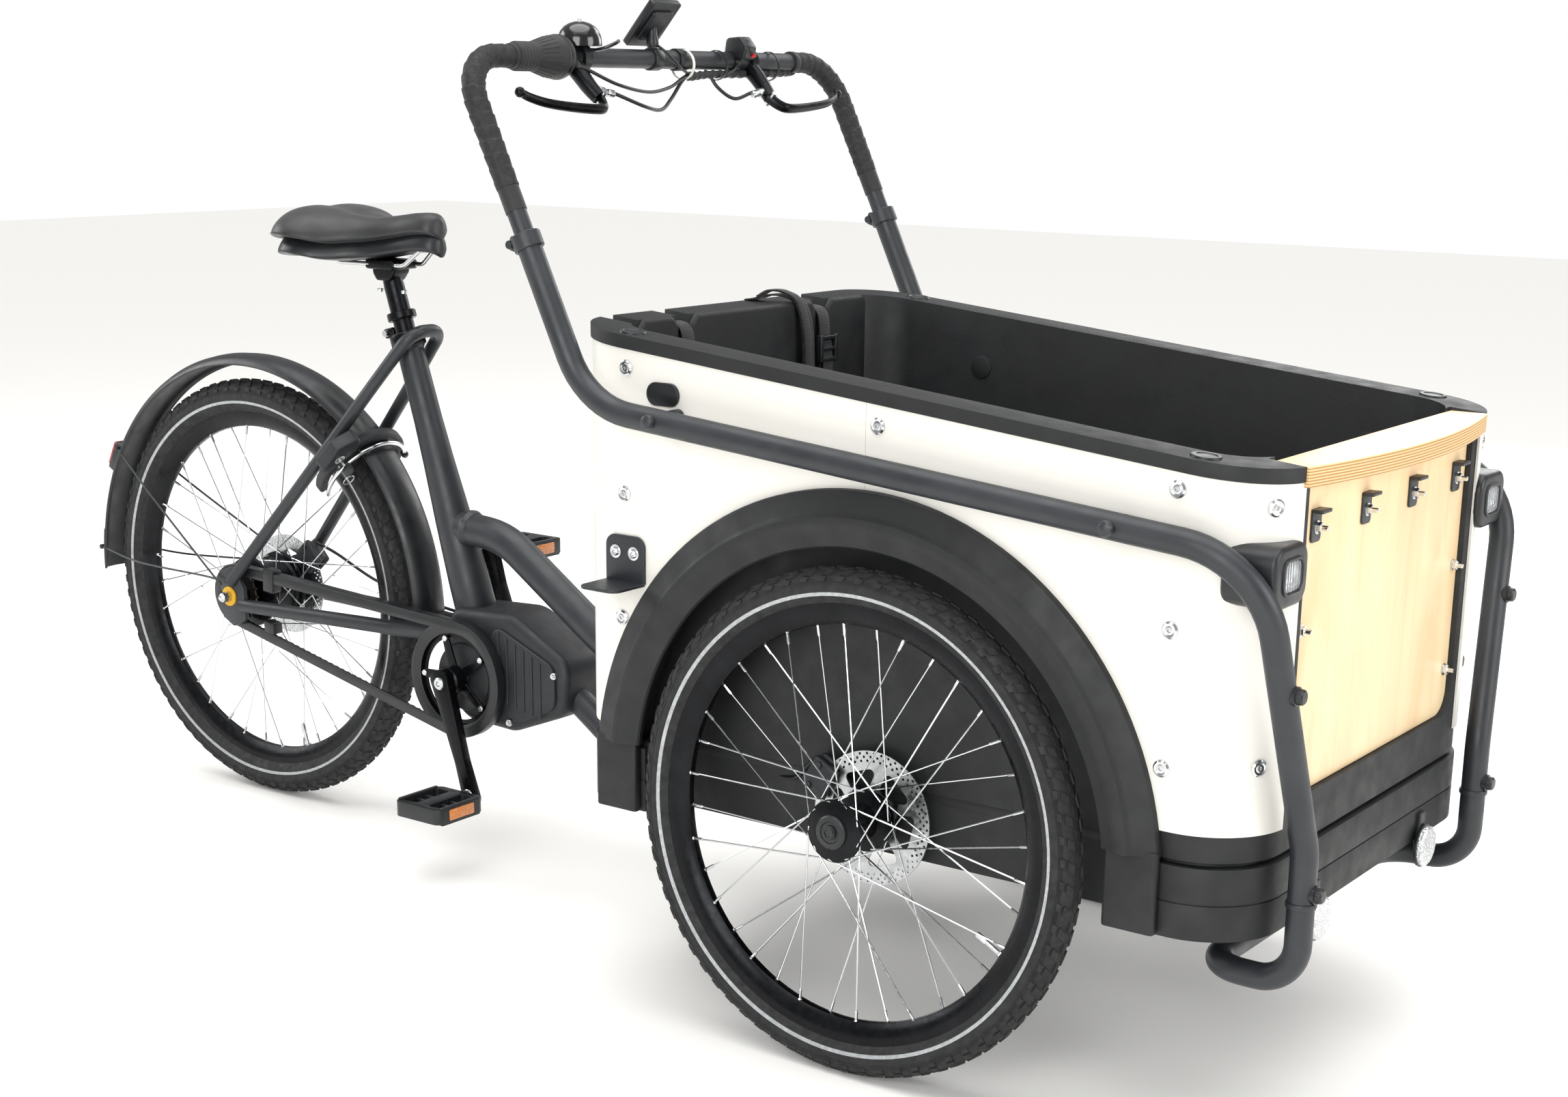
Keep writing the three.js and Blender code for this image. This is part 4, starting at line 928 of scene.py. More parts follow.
def make_rim(radius, width):
    seat = radius - width
    profile = [
        (seat + 8, -14.2), (seat + 9, -13.2), (seat + 8, -12.2), (seat + 4.5, -12), (seat + 3, -8),
        (seat - 3, -4),
        (seat - 3, 4), (seat + 3, 8), (seat + 4.5, 12), (seat + 8, 12.2), (seat + 9, 13.2),
        (seat + 8, 14.2),
        (seat - 1, 14), (seat - 8, 12.5), (seat - 15, 8.5), (seat - 19, 4.5), (seat - 20, 0),
        (seat - 19, -4.5),
        (seat - 15, -8.5), (seat - 8, -12.5), (seat - 1, -14),
    ]
    return turned("rim", profile, ANODISED, segments=120, closed=True, sharp=28)


def make_spokes(radius, width, flange_radius, outer_y, inner_y):
    seat = radius - width
    parts = []
    for i in range(4):
        outer, lean = i % 2 == 0, 1 if i < 2 else -1
        turn = math.radians(5) + i * 2 * math.pi / SPOKES
        hub_turn = turn + lean * math.radians(74)
        y = (outer_y if outer else inner_y) + lean * 2
        start = Vector((flange_radius * math.cos(hub_turn), y, flange_radius * math.sin(hub_turn))) * MM
        end = Vector(((seat - 19) * math.cos(turn), 3 if outer else -3, (seat - 19) * math.sin(turn))) * MM
        way = (end - start).normalized()
        hook = start - Vector((0, lean * 3.4, 0)) * MM
        parts.append(pipe("spoke", [hook, start, start + way * 0.004, end - way * 0.012, end], 1.0,
            STAINLESS, 6))
        parts.append(turned("head", [(0, -0.8), (2.0, -0.5), (2.0, 0.6), (0, 0.9)], STAINLESS, hook,
            (0, lean, 0), 8))
        parts.append(turned("nipple", [(0, -14), (1.4, -14), (1.9, -12), (1.9, -1), (2.6, 0), (2.6, 2),
            (0, 2)], STAINLESS,
                            end, way, 8))
    return copies("spokes", gather("spoke_set", parts), SPOKES // 4, skin=STAINLESS)


def make_disc(low):
    """A 160 mm disc with six swept arms and three rows of holes, in the wheel's own frame."""
    def at_wheel(made):
        return moved(made, Matrix.Translation(-wheel_centre))
    z0 = REAR_AXLE[2] / MM
    ring = [(80 * math.cos(t), 80 * math.sin(t) + z0) for t in [2 * math.pi * k / 120 for k in range(120)]]
    plate = slab("disc", ring, low, low + 1.9, DISC_STEEL, "xz")
    tools = []
    for k in range(6):
        turn = k * math.pi / 3
        corners = []
        for r, spread in ((35, -0.30), (62, -0.20), (62, 0.62), (37, 0.40)):
            corners.append((r * math.cos(turn + spread), r * math.sin(turn + spread) + z0))
        tools.append(slab("window", rounded(corners, [4, 6, 6, 4], 4), low - 3, low + 5, DISC_STEEL, "xz"))
    tools.append(slab("bore", [(x, z + z0) for x, z in circle(21, 40)], low - 3, low + 5, DISC_STEEL, "xz"))
    plate = combine(plate, [gather("windows", tools)])
    holes = []
    for r, lead in ((68, 0.0), (72.5, 0.5), (77, 0.0)):
        hole = slab("hole", [(x + r, z + z0) for x, z in circle(1.7, 8)], low - 3, low + 5, DISC_STEEL,
            "xz")
        at_wheel(hole)
        moved(hole, Matrix.Rotation(-lead * 2 * math.pi / 48, 4, "Y"))
        holes.append(copies("drilling", hole, 48))
    plate = at_wheel(plate)
    plate = combine(plate, [gather("drillings", holes)], sharp=30)
    carrier = turned("carrier", [(15, low - 1), (33, low - 1), (34, low), (34, low + 3), (33, low + 4),
        (15, low + 4)], ANODISED,
                     segments=64, closed=True)
    rivet = turned("rivet", [(0, low - 2), (2.4, low - 1.6), (2.8, low - 0.4), (2.8, low + 4),
        (0, low + 5)], STAINLESS, (0.029, 0, 0),
                   (0, 1, 0), 12)
    rivets = copies("rivets", rivet, 6)
    return gather("disc", [plate, carrier, rivets])


def valve(radius, width, turn):
    seat = radius - width
    parts = [
        turned("stem", square(0, -24, 2.9, 2), ZINC, (0, 0, 0), (0, 0, 1), 16),
        turned("cap", [(0, -40), (3.0, -39.4), (3.9, -38), (3.9, -26), (3.4, -24), (0, -24)], ABS,
        (0, 0, 0), (0, 0, 1), 16),
        turned("nut", [(0, -5), (5.2, -5), (5.4, -4), (5.4, -2.2), (0, -2.2)], ZINC, (0, 0, 0), (0, 0, 1),
        6),
    ]
    made = gather("valve", parts)
    moved(made, Matrix.Translation((0, 0, (seat - 17) * MM)))
    return moved(made, Matrix.Rotation(turn, 4, "Y"))


def make_front_hub():
    shell = turned("hub_shell", [
        (8.3, 40), (8.3, -39.7), (22, -39.7), (24, -38), (24, -30), (31.5, -29), (36.6, -28), (37.2, -26),
        (36.6, -24),
        (30, -23), (22, -20), (19.5, -8), (19.5, 12), (21, 26), (28, 31.5), (36.6, 33), (37.2, 35),
        (36.6, 37),
        (30, 38), (24, 40),
    ], ANODISED, closed=True)
    cap = turned("hub_cap", [
        (0, 47.6), (8, 47.6), (8.6, 47), (8.6, 44.4), (12, 44.4), (13, 45.6), (18, 45.2), (20, 43.5),
        (20.4, 40), (20.4, 38),
        (8.4, 38), (8.4, 36), (0, 36)], ABS)
    socket = turned("hex_socket", [
        (5.4, 47.4), (5.4, 48.7), (7.6, 48.7), (8, 48.2), (8, 47.4)], ABS, segments=6, closed=True)
    return gather("front_hub", [shell, cap, socket])


def make_rear_hub():
    shell = turned("hub_shell", [
        (5.6, -52), (20, -52), (20, -50), (24, -49), (24, -40), (46, -37), (54.5, -34), (55.4, -31),
        (55.4, -29), (54, -27),
        (47, -26), (44, -22), (43, 0), (44, 22), (47, 26), (54, 27), (55.4, 29), (55.4, 31), (54.5, 34),
        (46, 38),
        (28, 42), (27, 45.6), (5.6, 45.6),
    ], ANODISED, closed=True)
    fins = turned("band", [(43.6, -16), (45, -15), (45, -12), (43.6, -11)], ABS, closed=True)
    return gather("rear_hub", [shell, fins])


front_tyre = make_tyre(300.5, 47, 270.5, 72)
front_wheel_parts = {
    "tyre": front_tyre,
    "rim": gather("rim_and_spokes", [make_rim(300.5, 47), make_spokes(300.5, 47, 34.5, 35, -26),
                                     valve(300.5, 47, math.radians(-118))]),
    "hub": make_front_hub(),
    "rotor": make_disc(-42),
}
WHEEL_SLOTS = {"tyre": "tyre_rubber", "rim": "black_alloy", "hub": "black_alloy", "rotor": "steel"}
CAMBER = math.radians(2.5)
for side, suffix in ((-1, "right"), (1, "left")):
    low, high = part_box(f"front_tyre_{suffix}")
    middle = (Vector(low) + Vector(high)) / 2
    spin = Matrix.Rotation(math.pi, 4, "Z") if side < 0 else Matrix.Identity(4)
    stand = Matrix.Translation(middle) @ Matrix.Rotation(side * CAMBER, 4, "X") @ spin
    for part, pattern in front_wheel_parts.items():
        made = moved(new_object(f"front_{part}_{suffix}_fine", pattern.data.copy()), stand)
        give(made, f"front_wheel_{suffix}", WHEEL_SLOTS[part], f"front_{part}_{suffix}")
for pattern in front_wheel_parts.values():
    bpy.data.objects.remove(pattern)

rear_parts = {
    "tyre": make_tyre(334.5, 55, 299.4, 80),
    "rim": gather("rim_and_spokes", [make_rim(334.5, 55), make_spokes(334.5, 55, 51, 30, -30),
                                     valve(334.5, 55, math.radians(162))]),
    "hub": make_rear_hub(),
    "rotor": make_disc(46),
}
for part, made in rear_parts.items():
    made.name = f"rear_{part}_fine"
    moved(made, Matrix.Translation(wheel_centre))
    give(made, "rear_wheel", WHEEL_SLOTS[part], f"rear_{part}")

tooth = shape("tooth", [Vector(p) * MM for p in (
    (36, -1.2, -3.2), (36, -1.2, 3.2), (36, 1.2, 3.2), (36, 1.2, -3.2),
    (42, -0.7, -0.9), (42, -0.7, 0.9), (42, 0.7, 0.9), (42, 0.7, -0.9))],
    [(0, 1, 2, 3), (4, 7, 6, 5), (0, 4, 5, 1), (1, 5, 6, 2), (2, 6, 7, 3), (3, 7, 4, 0)], CHAIN_STEEL)
teeth = copies("sprocket_teeth", tooth, 19)
plate = turned("sprocket_plate", square(24.6, -1.2, 37.5, 1.2), CHAIN_STEEL, closed=True)
sprocket = moved(gather("rear_sprocket_fine", [teeth, plate]),
    Matrix.Translation(at(0, -55, REAR_AXLE[2] / MM)))
give(sprocket, "rear_sprocket", "steel", "rear_sprocket")


# ---- cargo tub ----
# A rotationally moulded polyethylene tub with rounded corners, a thick rolled rim and a
# shallow wheel well each side. The moulding leaves a fine even grain, its dullness varying in patches.
def polyethylene():
    made, tree, shader, place = new_material("grained black polyethylene", "#0f1012", 0.58)
    mottle(tree, place, shader, "#0e0f11", "#151719", 90)
    vary_roughness(tree, place, shader, 0.5, 0.68, 30)
    coarse = node(tree, "ShaderNodeTexVoronoi", {"Vector": place, "Scale": 1000 / 2.2}, feature="SMOOTH_F1")
    fine = node(tree, "ShaderNodeTexNoise", {"Vector": place, "Scale": 1000 / 1.0, "Detail": 2})
    both = node(tree, "ShaderNodeMath", {0: coarse.outputs["Distance"], 1: fine.outputs["Fac"]},
        operation="ADD")
    relief(tree, shader, both.outputs[0], 0.14, 0.6)
    return made


POLY = polyethylene()
BOX = {"rear": 930, "front": 1860, "half": 336, "corner": 90}
RIM = {"rear": 845, "front": 755, "depth": 16}
SEAM_X = 1374
WHEEL_X, WHEEL_Z = 1375, 300.5


def rim_top(x):
    return RIM["rear"] + (RIM["front"] - RIM["rear"]) * (x - BOX["rear"]) / (BOX["front"] - BOX["rear"])


def box_outline(inset, steps=14):
    low_x, high_x, half = BOX["rear"] + inset, BOX["front"] - inset, BOX["half"] - inset
    return rounded(square(low_x, -half, high_x, half), BOX["corner"] - inset, steps)


def above_rim(drop):
    """The space over the rim's slope, lowered by drop."""
    x0, x1 = BOX["rear"] - 60, BOX["front"] + 80
    return slab("above", [(x0, rim_top(x0) - drop), (x1, rim_top(x1) - drop), (x1, 990), (x0, 990)], -430,
        430, POLY, "xz")


def wheel_disc(radius, inner, outer, side, segments=120):
    return turned("well", square(0, min(side * inner, side * outer), radius,
        max(side * inner, side * outer)),
                  POLY, at(WHEEL_X, 0, WHEEL_Z), (0, 1, 0), segments)


walls = combine(slab("walls", box_outline(3.4), 337, 880, POLY), [above_rim(1)])
rim_band = combine(slab("rim_band", box_outline(-2), 600, 900, POLY), [above_rim(0)])
rim_band = combine(rim_band, [above_rim(RIM["depth"])], "INTERSECT")
inside = slab("inside", rounded(square(966, -286, 1820, 286), 60, 14), 346, 930, POLY)
opening = slab("opening", rounded(square(-228, 398, 228, 940), [30, 30, 0, 0], 10), 1790, 1890, POLY, "yz")
rebate = slab("rebate", rounded(square(-236, 390, 236, 940), [32, 32, 0, 0], 10), 1838, 1890, POLY, "yz")
notch = slab("notch", square(1818, -258, 1900, 258), 732.7, 940, POLY)
tub = combine(walls, [rim_band], "UNION")
tub = combine(tub, [inside, opening, rebate, notch, wheel_disc(352, 292, 400, 1),
    wheel_disc(352, 292, 400, -1)])

# The rear rim is cut by a slot for each child belt, and between the slots the wall is pressed
# forward as a headrest. Shallow round bosses stand where the mould's core pins were.
BELT_Y = (-250, -148, 150)
slots = [slab("slot", rounded([(y - 11, 829), (y + 11, 829), (y + 20, 900), (y - 20, 900)], 3, 4), 900,
    1010, POLY, "yz")
         for y in BELT_Y]
tub = combine(tub, slots)
tub = soften(tub, 7, 4, 40, 60)
headrests = []
for y0, y1 in ((-240, -160), (-136, 138), (162, 262)):
    pad = slab("headrest", rounded([(y0, 560), (y1, 560), (y1, 830), (y1 - 12, 842), (y0 + 12, 842),
        (y0, 830)],
                                   [8, 8, 8, 10, 10, 8], 6), 958, 973, POLY, "yz")
    headrests.append(soften(pad, 6, 5, 30, 60))
bosses = []
for side in (-1, 1):
    for x, y, z in ((1145, 285.6, 751), (1706, 285.6, 700)):
        bosses.append(turned("boss", [(0, 2.2), (13, 2.2), (15.4, 1.4), (16, 0.2), (16, -2), (0, -2)], POLY,
                             at(x, side * y, z), (0, -side, 0), 40))
    for x, y in ((1022, 313), (1775, 313)):
        z = rim_top(x)
        bosses.append(turned("plug", [(0, 1.0), (11, 1.2), (12.4, 2.2), (15.6, 2.2), (16.5, 1.2), (16.8, 0),
            (16.8, -3), (0, -3)],
                             ABS, at(x, side * y, z), (0.0963, 0, 0.9953), 40))
give(gather("cargo_tub_shell", [tub, *headrests, *bosses]), "front_chassis", "moulded_black", "cargo_tub")


# ---- child belts ----
# Black nylon webbing over the headrest slots, each with a ladder buckle and a loose tail.
def webbing():
    made, tree, shader, place = new_material("woven nylon webbing", "#131315", 0.7, Sheen_Weight=0.25,
        Sheen_Roughness=0.4)
    rows = node(tree, "ShaderNodeTexWave", {"Vector": place, "Scale": 1000 / 9}, wave_type="BANDS",
        bands_direction="Z")
    ribs = node(tree, "ShaderNodeTexWave", {"Vector": place, "Scale": 1000 / 7}, wave_type="BANDS",
        bands_direction="Y")
    weave = node(tree, "ShaderNodeMath", {0: rows.outputs["Fac"], 1: ribs.outputs["Fac"]},
        operation="MULTIPLY")
    relief(tree, shader, weave.outputs[0], 0.5, 0.7)
    mottle(tree, place, shader, "#0f0f11", "#1a1a1c", 5)
    return made


WEBBING = webbing()


def strap(name, route, width=25, thick=1.6):
    section = rounded(square(-width / 2, -thick / 2, width / 2, thick / 2),
                      thick / 2 - 0.1, 3)
    verts, faces = [], []
    n = len(section)
    for i, here in enumerate(route):
        along = (route[min(i + 1, len(route) - 1)] - route[max(i - 1, 0)]).normalized()
        across = Vector((0, 1, 0))
        out = along.cross(across).normalized()
        verts += [here + (across * u + out * v) * MM for u, v in section]
    for i in range(len(route) - 1):
        faces += [(i * n + k, i * n + (k + 1) % n, (i + 1) * n + (k + 1) % n, (i + 1) * n + k)
            for k in range(n)]
    faces += [tuple(range(n)), tuple(range((len(route) - 1) * n, len(route) * n))]
    return shape(name, verts, faces, WEBBING, 50)


belts = []
for index, y in enumerate(BELT_Y):
    sag = 2 * (index % 2)
    belts.append(strap("belt", flowing([
        (977, y, 640), (978 + sag, y, 700), (978, y, 760), (977, y, 806), (971, y, 826), (958, y, 831.5),
        (944, y, 831.5), (925, y, 829), (922, y, 815)]), 24))
    belts.append(strap("tail", flowing([(984, y + 3, 660 + 14 * index), (984 + sag, y + 2, 700),
        (983, y, 760), (981, y, 786)]), 22))
    buckle = []
    for z in (762, 776, 791):
        buckle.append(soften(slab("bar", rounded(square(y - 17, z - 2.6, y + 17, z + 2.6), 1.6, 3),
                                  978, 986, ABS, "yz"), 0.9, 2))
    for s in (-1, 1):
        buckle.append(soften(slab("side", rounded(square(y + s * 17 - 3, 758, y + s * 17 + 3, 795), 2, 3),
            977.5, 986.5, ABS, "yz"), 1, 2))
    belts += buckle
belts.append(strap("waist_belt", flowing([
    (980, 112, 560), (983, 112, 640), (981, 110, 720), (979, 108, 800), (973, 100, 838), (962, 84, 850),
    (950, 64, 852),
    (940, 50, 848), (928, 46, 846)]), 26, 2.4))
belts.append(strap("waist_belt_fold", flowing([
    (984, 100, 600), (988, 98, 700), (986, 99, 790), (977, 92, 840), (964, 78, 855), (952, 60, 858),
    (944, 46, 851)]), 16, 3.0))
give(gather("child_belts", belts), "front_chassis", "moulded_black")


# ---- side panels ----
# Two white laminate sheets each side, 3 mm thick, bent round the box's corners and screwed
# through cup washers. The face is smooth with a very slight ripple and a soft gloss.
def white_laminate():
    made, tree, shader, place = new_material("white high-pressure laminate", "#e6e4dc", 0.34, ior=1.49)
    mottle(tree, place, shader, "#e4e2da", "#e9e7e0", 160)
    vary_roughness(tree, place, shader, 0.3, 0.42, 45)
    ripple = node(tree, "ShaderNodeTexNoise", {"Vector": place, "Scale": 1000 / 60, "Detail": 2})
    relief(tree, shader, ripple.outputs["Fac"], 0.5, 0.12)
    return made


LAMINATE = white_laminate()
ARCH_OUTER = 388
for side, suffix in ((-1, "right"), (1, "left")):
    for part, low_z, x0, x1 in (("rear", 351, 905, SEAM_X - 0.2), ("front", 367, SEAM_X + 0.2, 1885)):
        sheet = slab("sheet", box_outline(0, 20), low_z, 900, LAMINATE)
        hollow = slab("hollow", box_outline(3, 20), 300, 960, LAMINATE)
        y0, y1 = (-400, -252) if side < 0 else (252, 400)
        keep = slab("keep", square(x0, y0, x1, y1), 300, 950, LAMINATE)
        sheet = combine(sheet, [hollow, above_rim(RIM["depth"] + 0.3)])
        sheet = combine(sheet, [keep], "INTERSECT")
        sheet = combine(sheet, [wheel_disc(ARCH_OUTER - 1, 240, 430, side)], sharp=24)
        sheet.data.materials.clear()
        sheet.data.materials.append(LAMINATE)
        sheet.name = f"{part}_panel_{suffix}_laminate"
        give(sheet, "front_chassis", "white_panel", f"{part}_panel_{suffix}")


# ---- panel screws ----
# Stainless countersunk torx screws in dished cup washers.
def cup_screw():
    washer = turned("washer", [(3.4, 0.2), (8.6, 0.2), (9.6, 0.6), (9.4, 1.6), (7.4, 3.2), (5.6, 3.0),
        (3.4, 1.6)], STAINLESS,
                    (0, 0, 0), (0, 0, 1), 28, closed=True)
    head = turned("head", [(0, 1.2), (1.9, 1.2), (2.3, 2.6), (4.6, 2.7), (5.5, 2.2), (5.5, 0.6), (0, 0.6)],
        ZINC,
                  (0, 0, 0), (0, 0, 1), 24)
    return washer, head


def facing_out(x, y, z, out):
    """A placing that stands the piece's +Z along out."""
    return Matrix.Translation(at(x, y, z)) @ Vector(out).to_track_quat("Z", "Y").to_matrix().to_4x4()


SCREW_XZ = [(1031, 797), (1390, 761), (1757, 731), (1027, 646), (1022, 493), (1757, 584), (1756, 435)]
CORNER_SCREWS_Z = (716, 442)
screw_places = []
for side in (-1, 1):
    screw_places += [facing_out(x, side * 336, z, (0, side, 0)) for x, z in SCREW_XZ]
    for z in CORNER_SCREWS_Z:
        turn = math.radians(58)
        cx, cy = BOX["front"] - BOX["corner"], BOX["half"] - BOX["corner"]
        screw_places.append(facing_out(cx + BOX["corner"] * math.sin(turn),
            side * (cy + BOX["corner"] * math.cos(turn)), z,
                                       (math.sin(turn), side * math.cos(turn), 0)))
washer, head = cup_screw()
screws = [copies("cup_washers", washer, len(screw_places), places=screw_places),
          copies("screw_heads", head, len(screw_places), places=screw_places)]
give(gather("panel_screws", screws), "front_chassis", "steel")


# ---- wheel arches ----
# Moulded arches with a raised bead inside and a flat step outside, ending in short legs that
# cover the skirt's ends.
for side, suffix in ((-1, "right"), (1, "left")):
    section = [(ARCH_OUTER, 333.3), (ARCH_OUTER, 343), (387, 345), (384, 346.6), (364, 351.6), (361, 353.6),
        (358, 356.6),
               (352, 358), (346, 357), (338, 353), (330, 350.4), (324, 349), (322, 346.5), (322, 341),
               (324, 338.5), (344, 335.6),
               (344, 296), (349.5, 296), (349.5, 333.3)]
    hoop = turned("hoop", section if side > 0 else [(r, -y) for r, y in section[::-1]], POLY,
                  at(WHEEL_X, 0, WHEEL_Z), (0, 1, 0), 144, closed=True)
    under = slab("under", square(950, -420, 1800, 420), -200, 338, POLY)
    hoop = combine(hoop, [under], sharp=28)
    legs = []
    for s in (-1, 1):
        a, b = sorted((WHEEL_X + s * 324, WHEEL_X + s * 387))
        y0, y1 = sorted((side * 336.2, side * 349))
        leg = slab("leg", rounded(square(a, y0, b, y1), 5, 5), 251, 344, POLY)
        legs.append(soften(leg, 2.5, 3))
        step = rounded(square(a + 4, min(side * 349, side * 356), a + 34, max(side * 349, side * 356)), 3,
            4)
        if s > 0:
            step = [(x, y) for x, y in step]
    give(gather(f"wheel_arch_{suffix}_moulding", [hoop, *legs]), "front_chassis", "moulded_black",
        f"wheel_arch_{suffix}")


# ---- lower skirt ----
# The moulded skirt that closes the box's underside, with a shadow groove under the tub and a
# fold line 40 mm above its lower edge.
def skirt_band(low_z, high_z, inset):
    outer = slab("band", box_outline(inset, 16), low_z, high_z, POLY)
    return outer


skirt_shell = skirt_band(250, 331, 0)
lip = skirt_band(326, 336.7, 12)
skirt_shell = combine(skirt_shell, [lip], "UNION")
hollow = slab("hollow", box_outline(8, 16), 200, 325, POLY)
skirt_shell = combine(skirt_shell, [hollow])
wells = [slab("well", square(WHEEL_X - 319, y0, WHEEL_X + 319, y1), 190, 400, POLY)
         for y0, y1 in ((289, 430), (-430, -289))]
yoke = slab("yoke", square(900, -60, 960, 60), 180, 345, POLY)
skirt_shell = combine(skirt_shell, [*wells, yoke])
fold = slab("fold", box_outline(-0.1, 16), 289.6, 291.2, POLY)
fold_core = slab("core", box_outline(1.6, 16), 280, 300, POLY)
fold = combine(fold, [fold_core])
skirt_shell = combine(skirt_shell, [fold])
skirt_shell = soften(skirt_shell, 1.6, 2, 50, 50)
inner_walls = [slab("inner", square(WHEEL_X - 322, y0, WHEEL_X + 322, y1), 252, 326, POLY)
               for y0, y1 in ((283, 288.7), (-288.7, -283))]
give(gather("lower_skirt_moulding", [skirt_shell, *inner_walls]), "front_chassis", "moulded_black",
    "lower_skirt")


# ---- birch front board and ledge ----
# Clear-sealed birch plywood: rotary-cut face veneer with soft wavy figure on the board, and
# a thicker ledge whose bowed edge shows its plies.
def birch_face():
    made, tree, shader, place = new_material("sealed birch veneer", "#dfc08c", 0.46, Coat_Weight=0.15,
        Coat_Roughness=0.3)
    stretched = node(tree, "ShaderNodeMapping", {"Vector": place, "Scale": (6, 7, 1.2)})
    drift = node(tree, "ShaderNodeTexNoise", {"Vector": stretched.outputs[0], "Scale": 1.6, "Detail": 5,
        "Distortion": 1.6})
    fibre_map = node(tree, "ShaderNodeMapping", {"Vector": place, "Scale": (900, 900, 40)})
    fibre = node(tree, "ShaderNodeTexNoise", {"Vector": fibre_map.outputs[0], "Scale": 1.0, "Detail": 3})
    figure = node(tree, "ShaderNodeMix", {0: 0.22, 2: drift.outputs["Fac"], 3: fibre.outputs["Fac"]},
        data_type="FLOAT")
    ramp = node(tree, "ShaderNodeValToRGB", {"Fac": figure.outputs[0]})
    ramp.color_ramp.elements[0].position = 0.3
    ramp.color_ramp.elements[0].color = linear("#dfbd8a")
    ramp.color_ramp.elements[1].position = 0.62
    ramp.color_ramp.elements[1].color = linear("#efd8ad")
    middle = ramp.color_ramp.elements.new(0.47)
    middle.color = linear("#e7caa0")
    tree.links.new(ramp.outputs["Color"], shader.inputs["Base Color"])
    relief(tree, shader, fibre.outputs["Fac"], 0.06, 0.4)
    return made


def birch_plies():
    made, tree, shader, place = new_material("birch plywood edge plies", "#b98f5a", 0.6)
    parts = node(tree, "ShaderNodeSeparateXYZ", {"Vector": place})
    height = node(tree, "ShaderNodeMath", {0: parts.outputs["Z"], 1: 1000 / 3.1}, operation="MULTIPLY")
    cycle = node(tree, "ShaderNodeMath", {0: height.outputs[0]}, operation="FRACT")
    ramp = node(tree, "ShaderNodeValToRGB", {"Fac": cycle.outputs[0]})
    ramp.color_ramp.elements[0].position = 0.44
    ramp.color_ramp.elements[0].color = linear("#e2bf8c")
    ramp.color_ramp.elements[1].position = 0.56
    ramp.color_ramp.elements[1].color = linear("#b0814d")
    tree.links.new(ramp.outputs["Color"], shader.inputs["Base Color"])
    pores = node(tree, "ShaderNodeTexNoise", {"Vector": place, "Scale": 1000 / 0.8, "Detail": 3})
    relief(tree, shader, pores.outputs["Fac"], 0.15, 0.6)
    return made


BIRCH, PLIES = birch_face(), birch_plies()
board = slab("board", rounded(square(-235, 391, 235, 732), [30, 30, 0.5, 0.5], 10), 1838.6, 1850.4, BIRCH,
    "yz")
board = soften(board, 0.8, 2)
give(board, "front_chassis", "birch_ply", "ply_panel")
board.name = "birch_front_board"

front_edge = [(1864 + 29 * (1 - (y / 257.6) ** 2), y) for y in [-257.6 + 515.2 * k / 48 for k in range(49)]]
ledge = slab("birch_ledge", [(1818.6, -257.6), *front_edge, (1818.6, 257.6)], 733, 755, PLIES)
ledge = soften(ledge, 1.6, 3, 40, 40)
ledge.data.materials.append(BIRCH)
for face in ledge.data.polygons:
    face.material_index = 1 if abs(face.normal.z) > 0.9 else 0
give(ledge, "front_chassis", "birch_ply", "ply_cap")

# Folded steel clips hold the ledge to the board, each with a bolt and nut, and cap bolts
# stand along the board's edges.
clips = []
for y in (-203, -68, 68, 203):
    plate = soften(slab("clip", rounded(square(y - 12, 668, y + 12, 704), [5, 5, 2, 2], 4), 1850.6, 1853,
                        POWDER, "yz"), 0.6, 2)
    fold_over = soften(slab("fold", rounded(square(y - 12, 700, y + 12, 704), 1, 3), 1850.6, 1864,
                            POWDER, "yz"), 0.6, 2)
    clips += [plate, fold_over]
bolt_places = [facing_out(1853, y, 684, (1, 0, 0)) for y in (-203, -68, 68, 203)]
bolt_places += [facing_out(1850.6, y, z, (1, 0, 0)) for y in (-221, 221) for z in (576, 447)]
stud = turned("stud", [(0, 13), (2.4, 13), (2.9, 12.4), (2.9, 0), (0, 0)], STAINLESS, (0, 0, 0), (0, 0, 1),
    14)
nut = turned("nut", [(2.9, 1.2), (5.4, 1.2), (5.8, 1.8), (5.8, 5.4), (5.4, 6), (2.9, 6)], STAINLESS,
    (0, 0, 0), (0, 0, 1), 6, 20,
             closed=True)
flange = turned("flange", [(2.9, 0), (7.4, 0), (7.4, 1.1), (2.9, 1.2)], STAINLESS, (0, 0, 0), (0, 0, 1), 24,
    closed=True)
clips += [copies("studs", stud, 8, places=bolt_places), copies("nuts", nut, 8, places=bolt_places),
          copies("washers", flange, 8, places=bolt_places)]
give(gather("board_clips_and_bolts", clips), "front_chassis", "steel")


# ---- side tubes and lower bumper ----
# One bent tube each side runs from the handlebar collar along the panel and down the front
# corner, joined below by a hoop. Domed bolts hold the tubes off the box on short spacers.
SIDE_Y, TUBE_R = 379, 15
for side, suffix in ((-1, "right"), (1, "left")):
    line = [(915, side * SIDE_Y, 944), (915 + 0.48 * 190, side * SIDE_Y, 754), (1864, side * 356, 674),
            (1889, side * 258, 350), (1889, side * 258, 291)]
    tube = pipe("tube", bend(line, [110, 105, 80]), TUBE_R, POWDER, 36)
    bore = pipe("bore", [at(905, side * SIDE_Y, 964.8), at(915 + 0.48 * 130, side * SIDE_Y, 944 - 130)],
        12.5, POWDER, 36)
    tube = combine(tube, [bore])
    give(gather(f"side_tube_{suffix}_steel", [tube]), "front_chassis", "black_paint", f"side_tube_{suffix}")

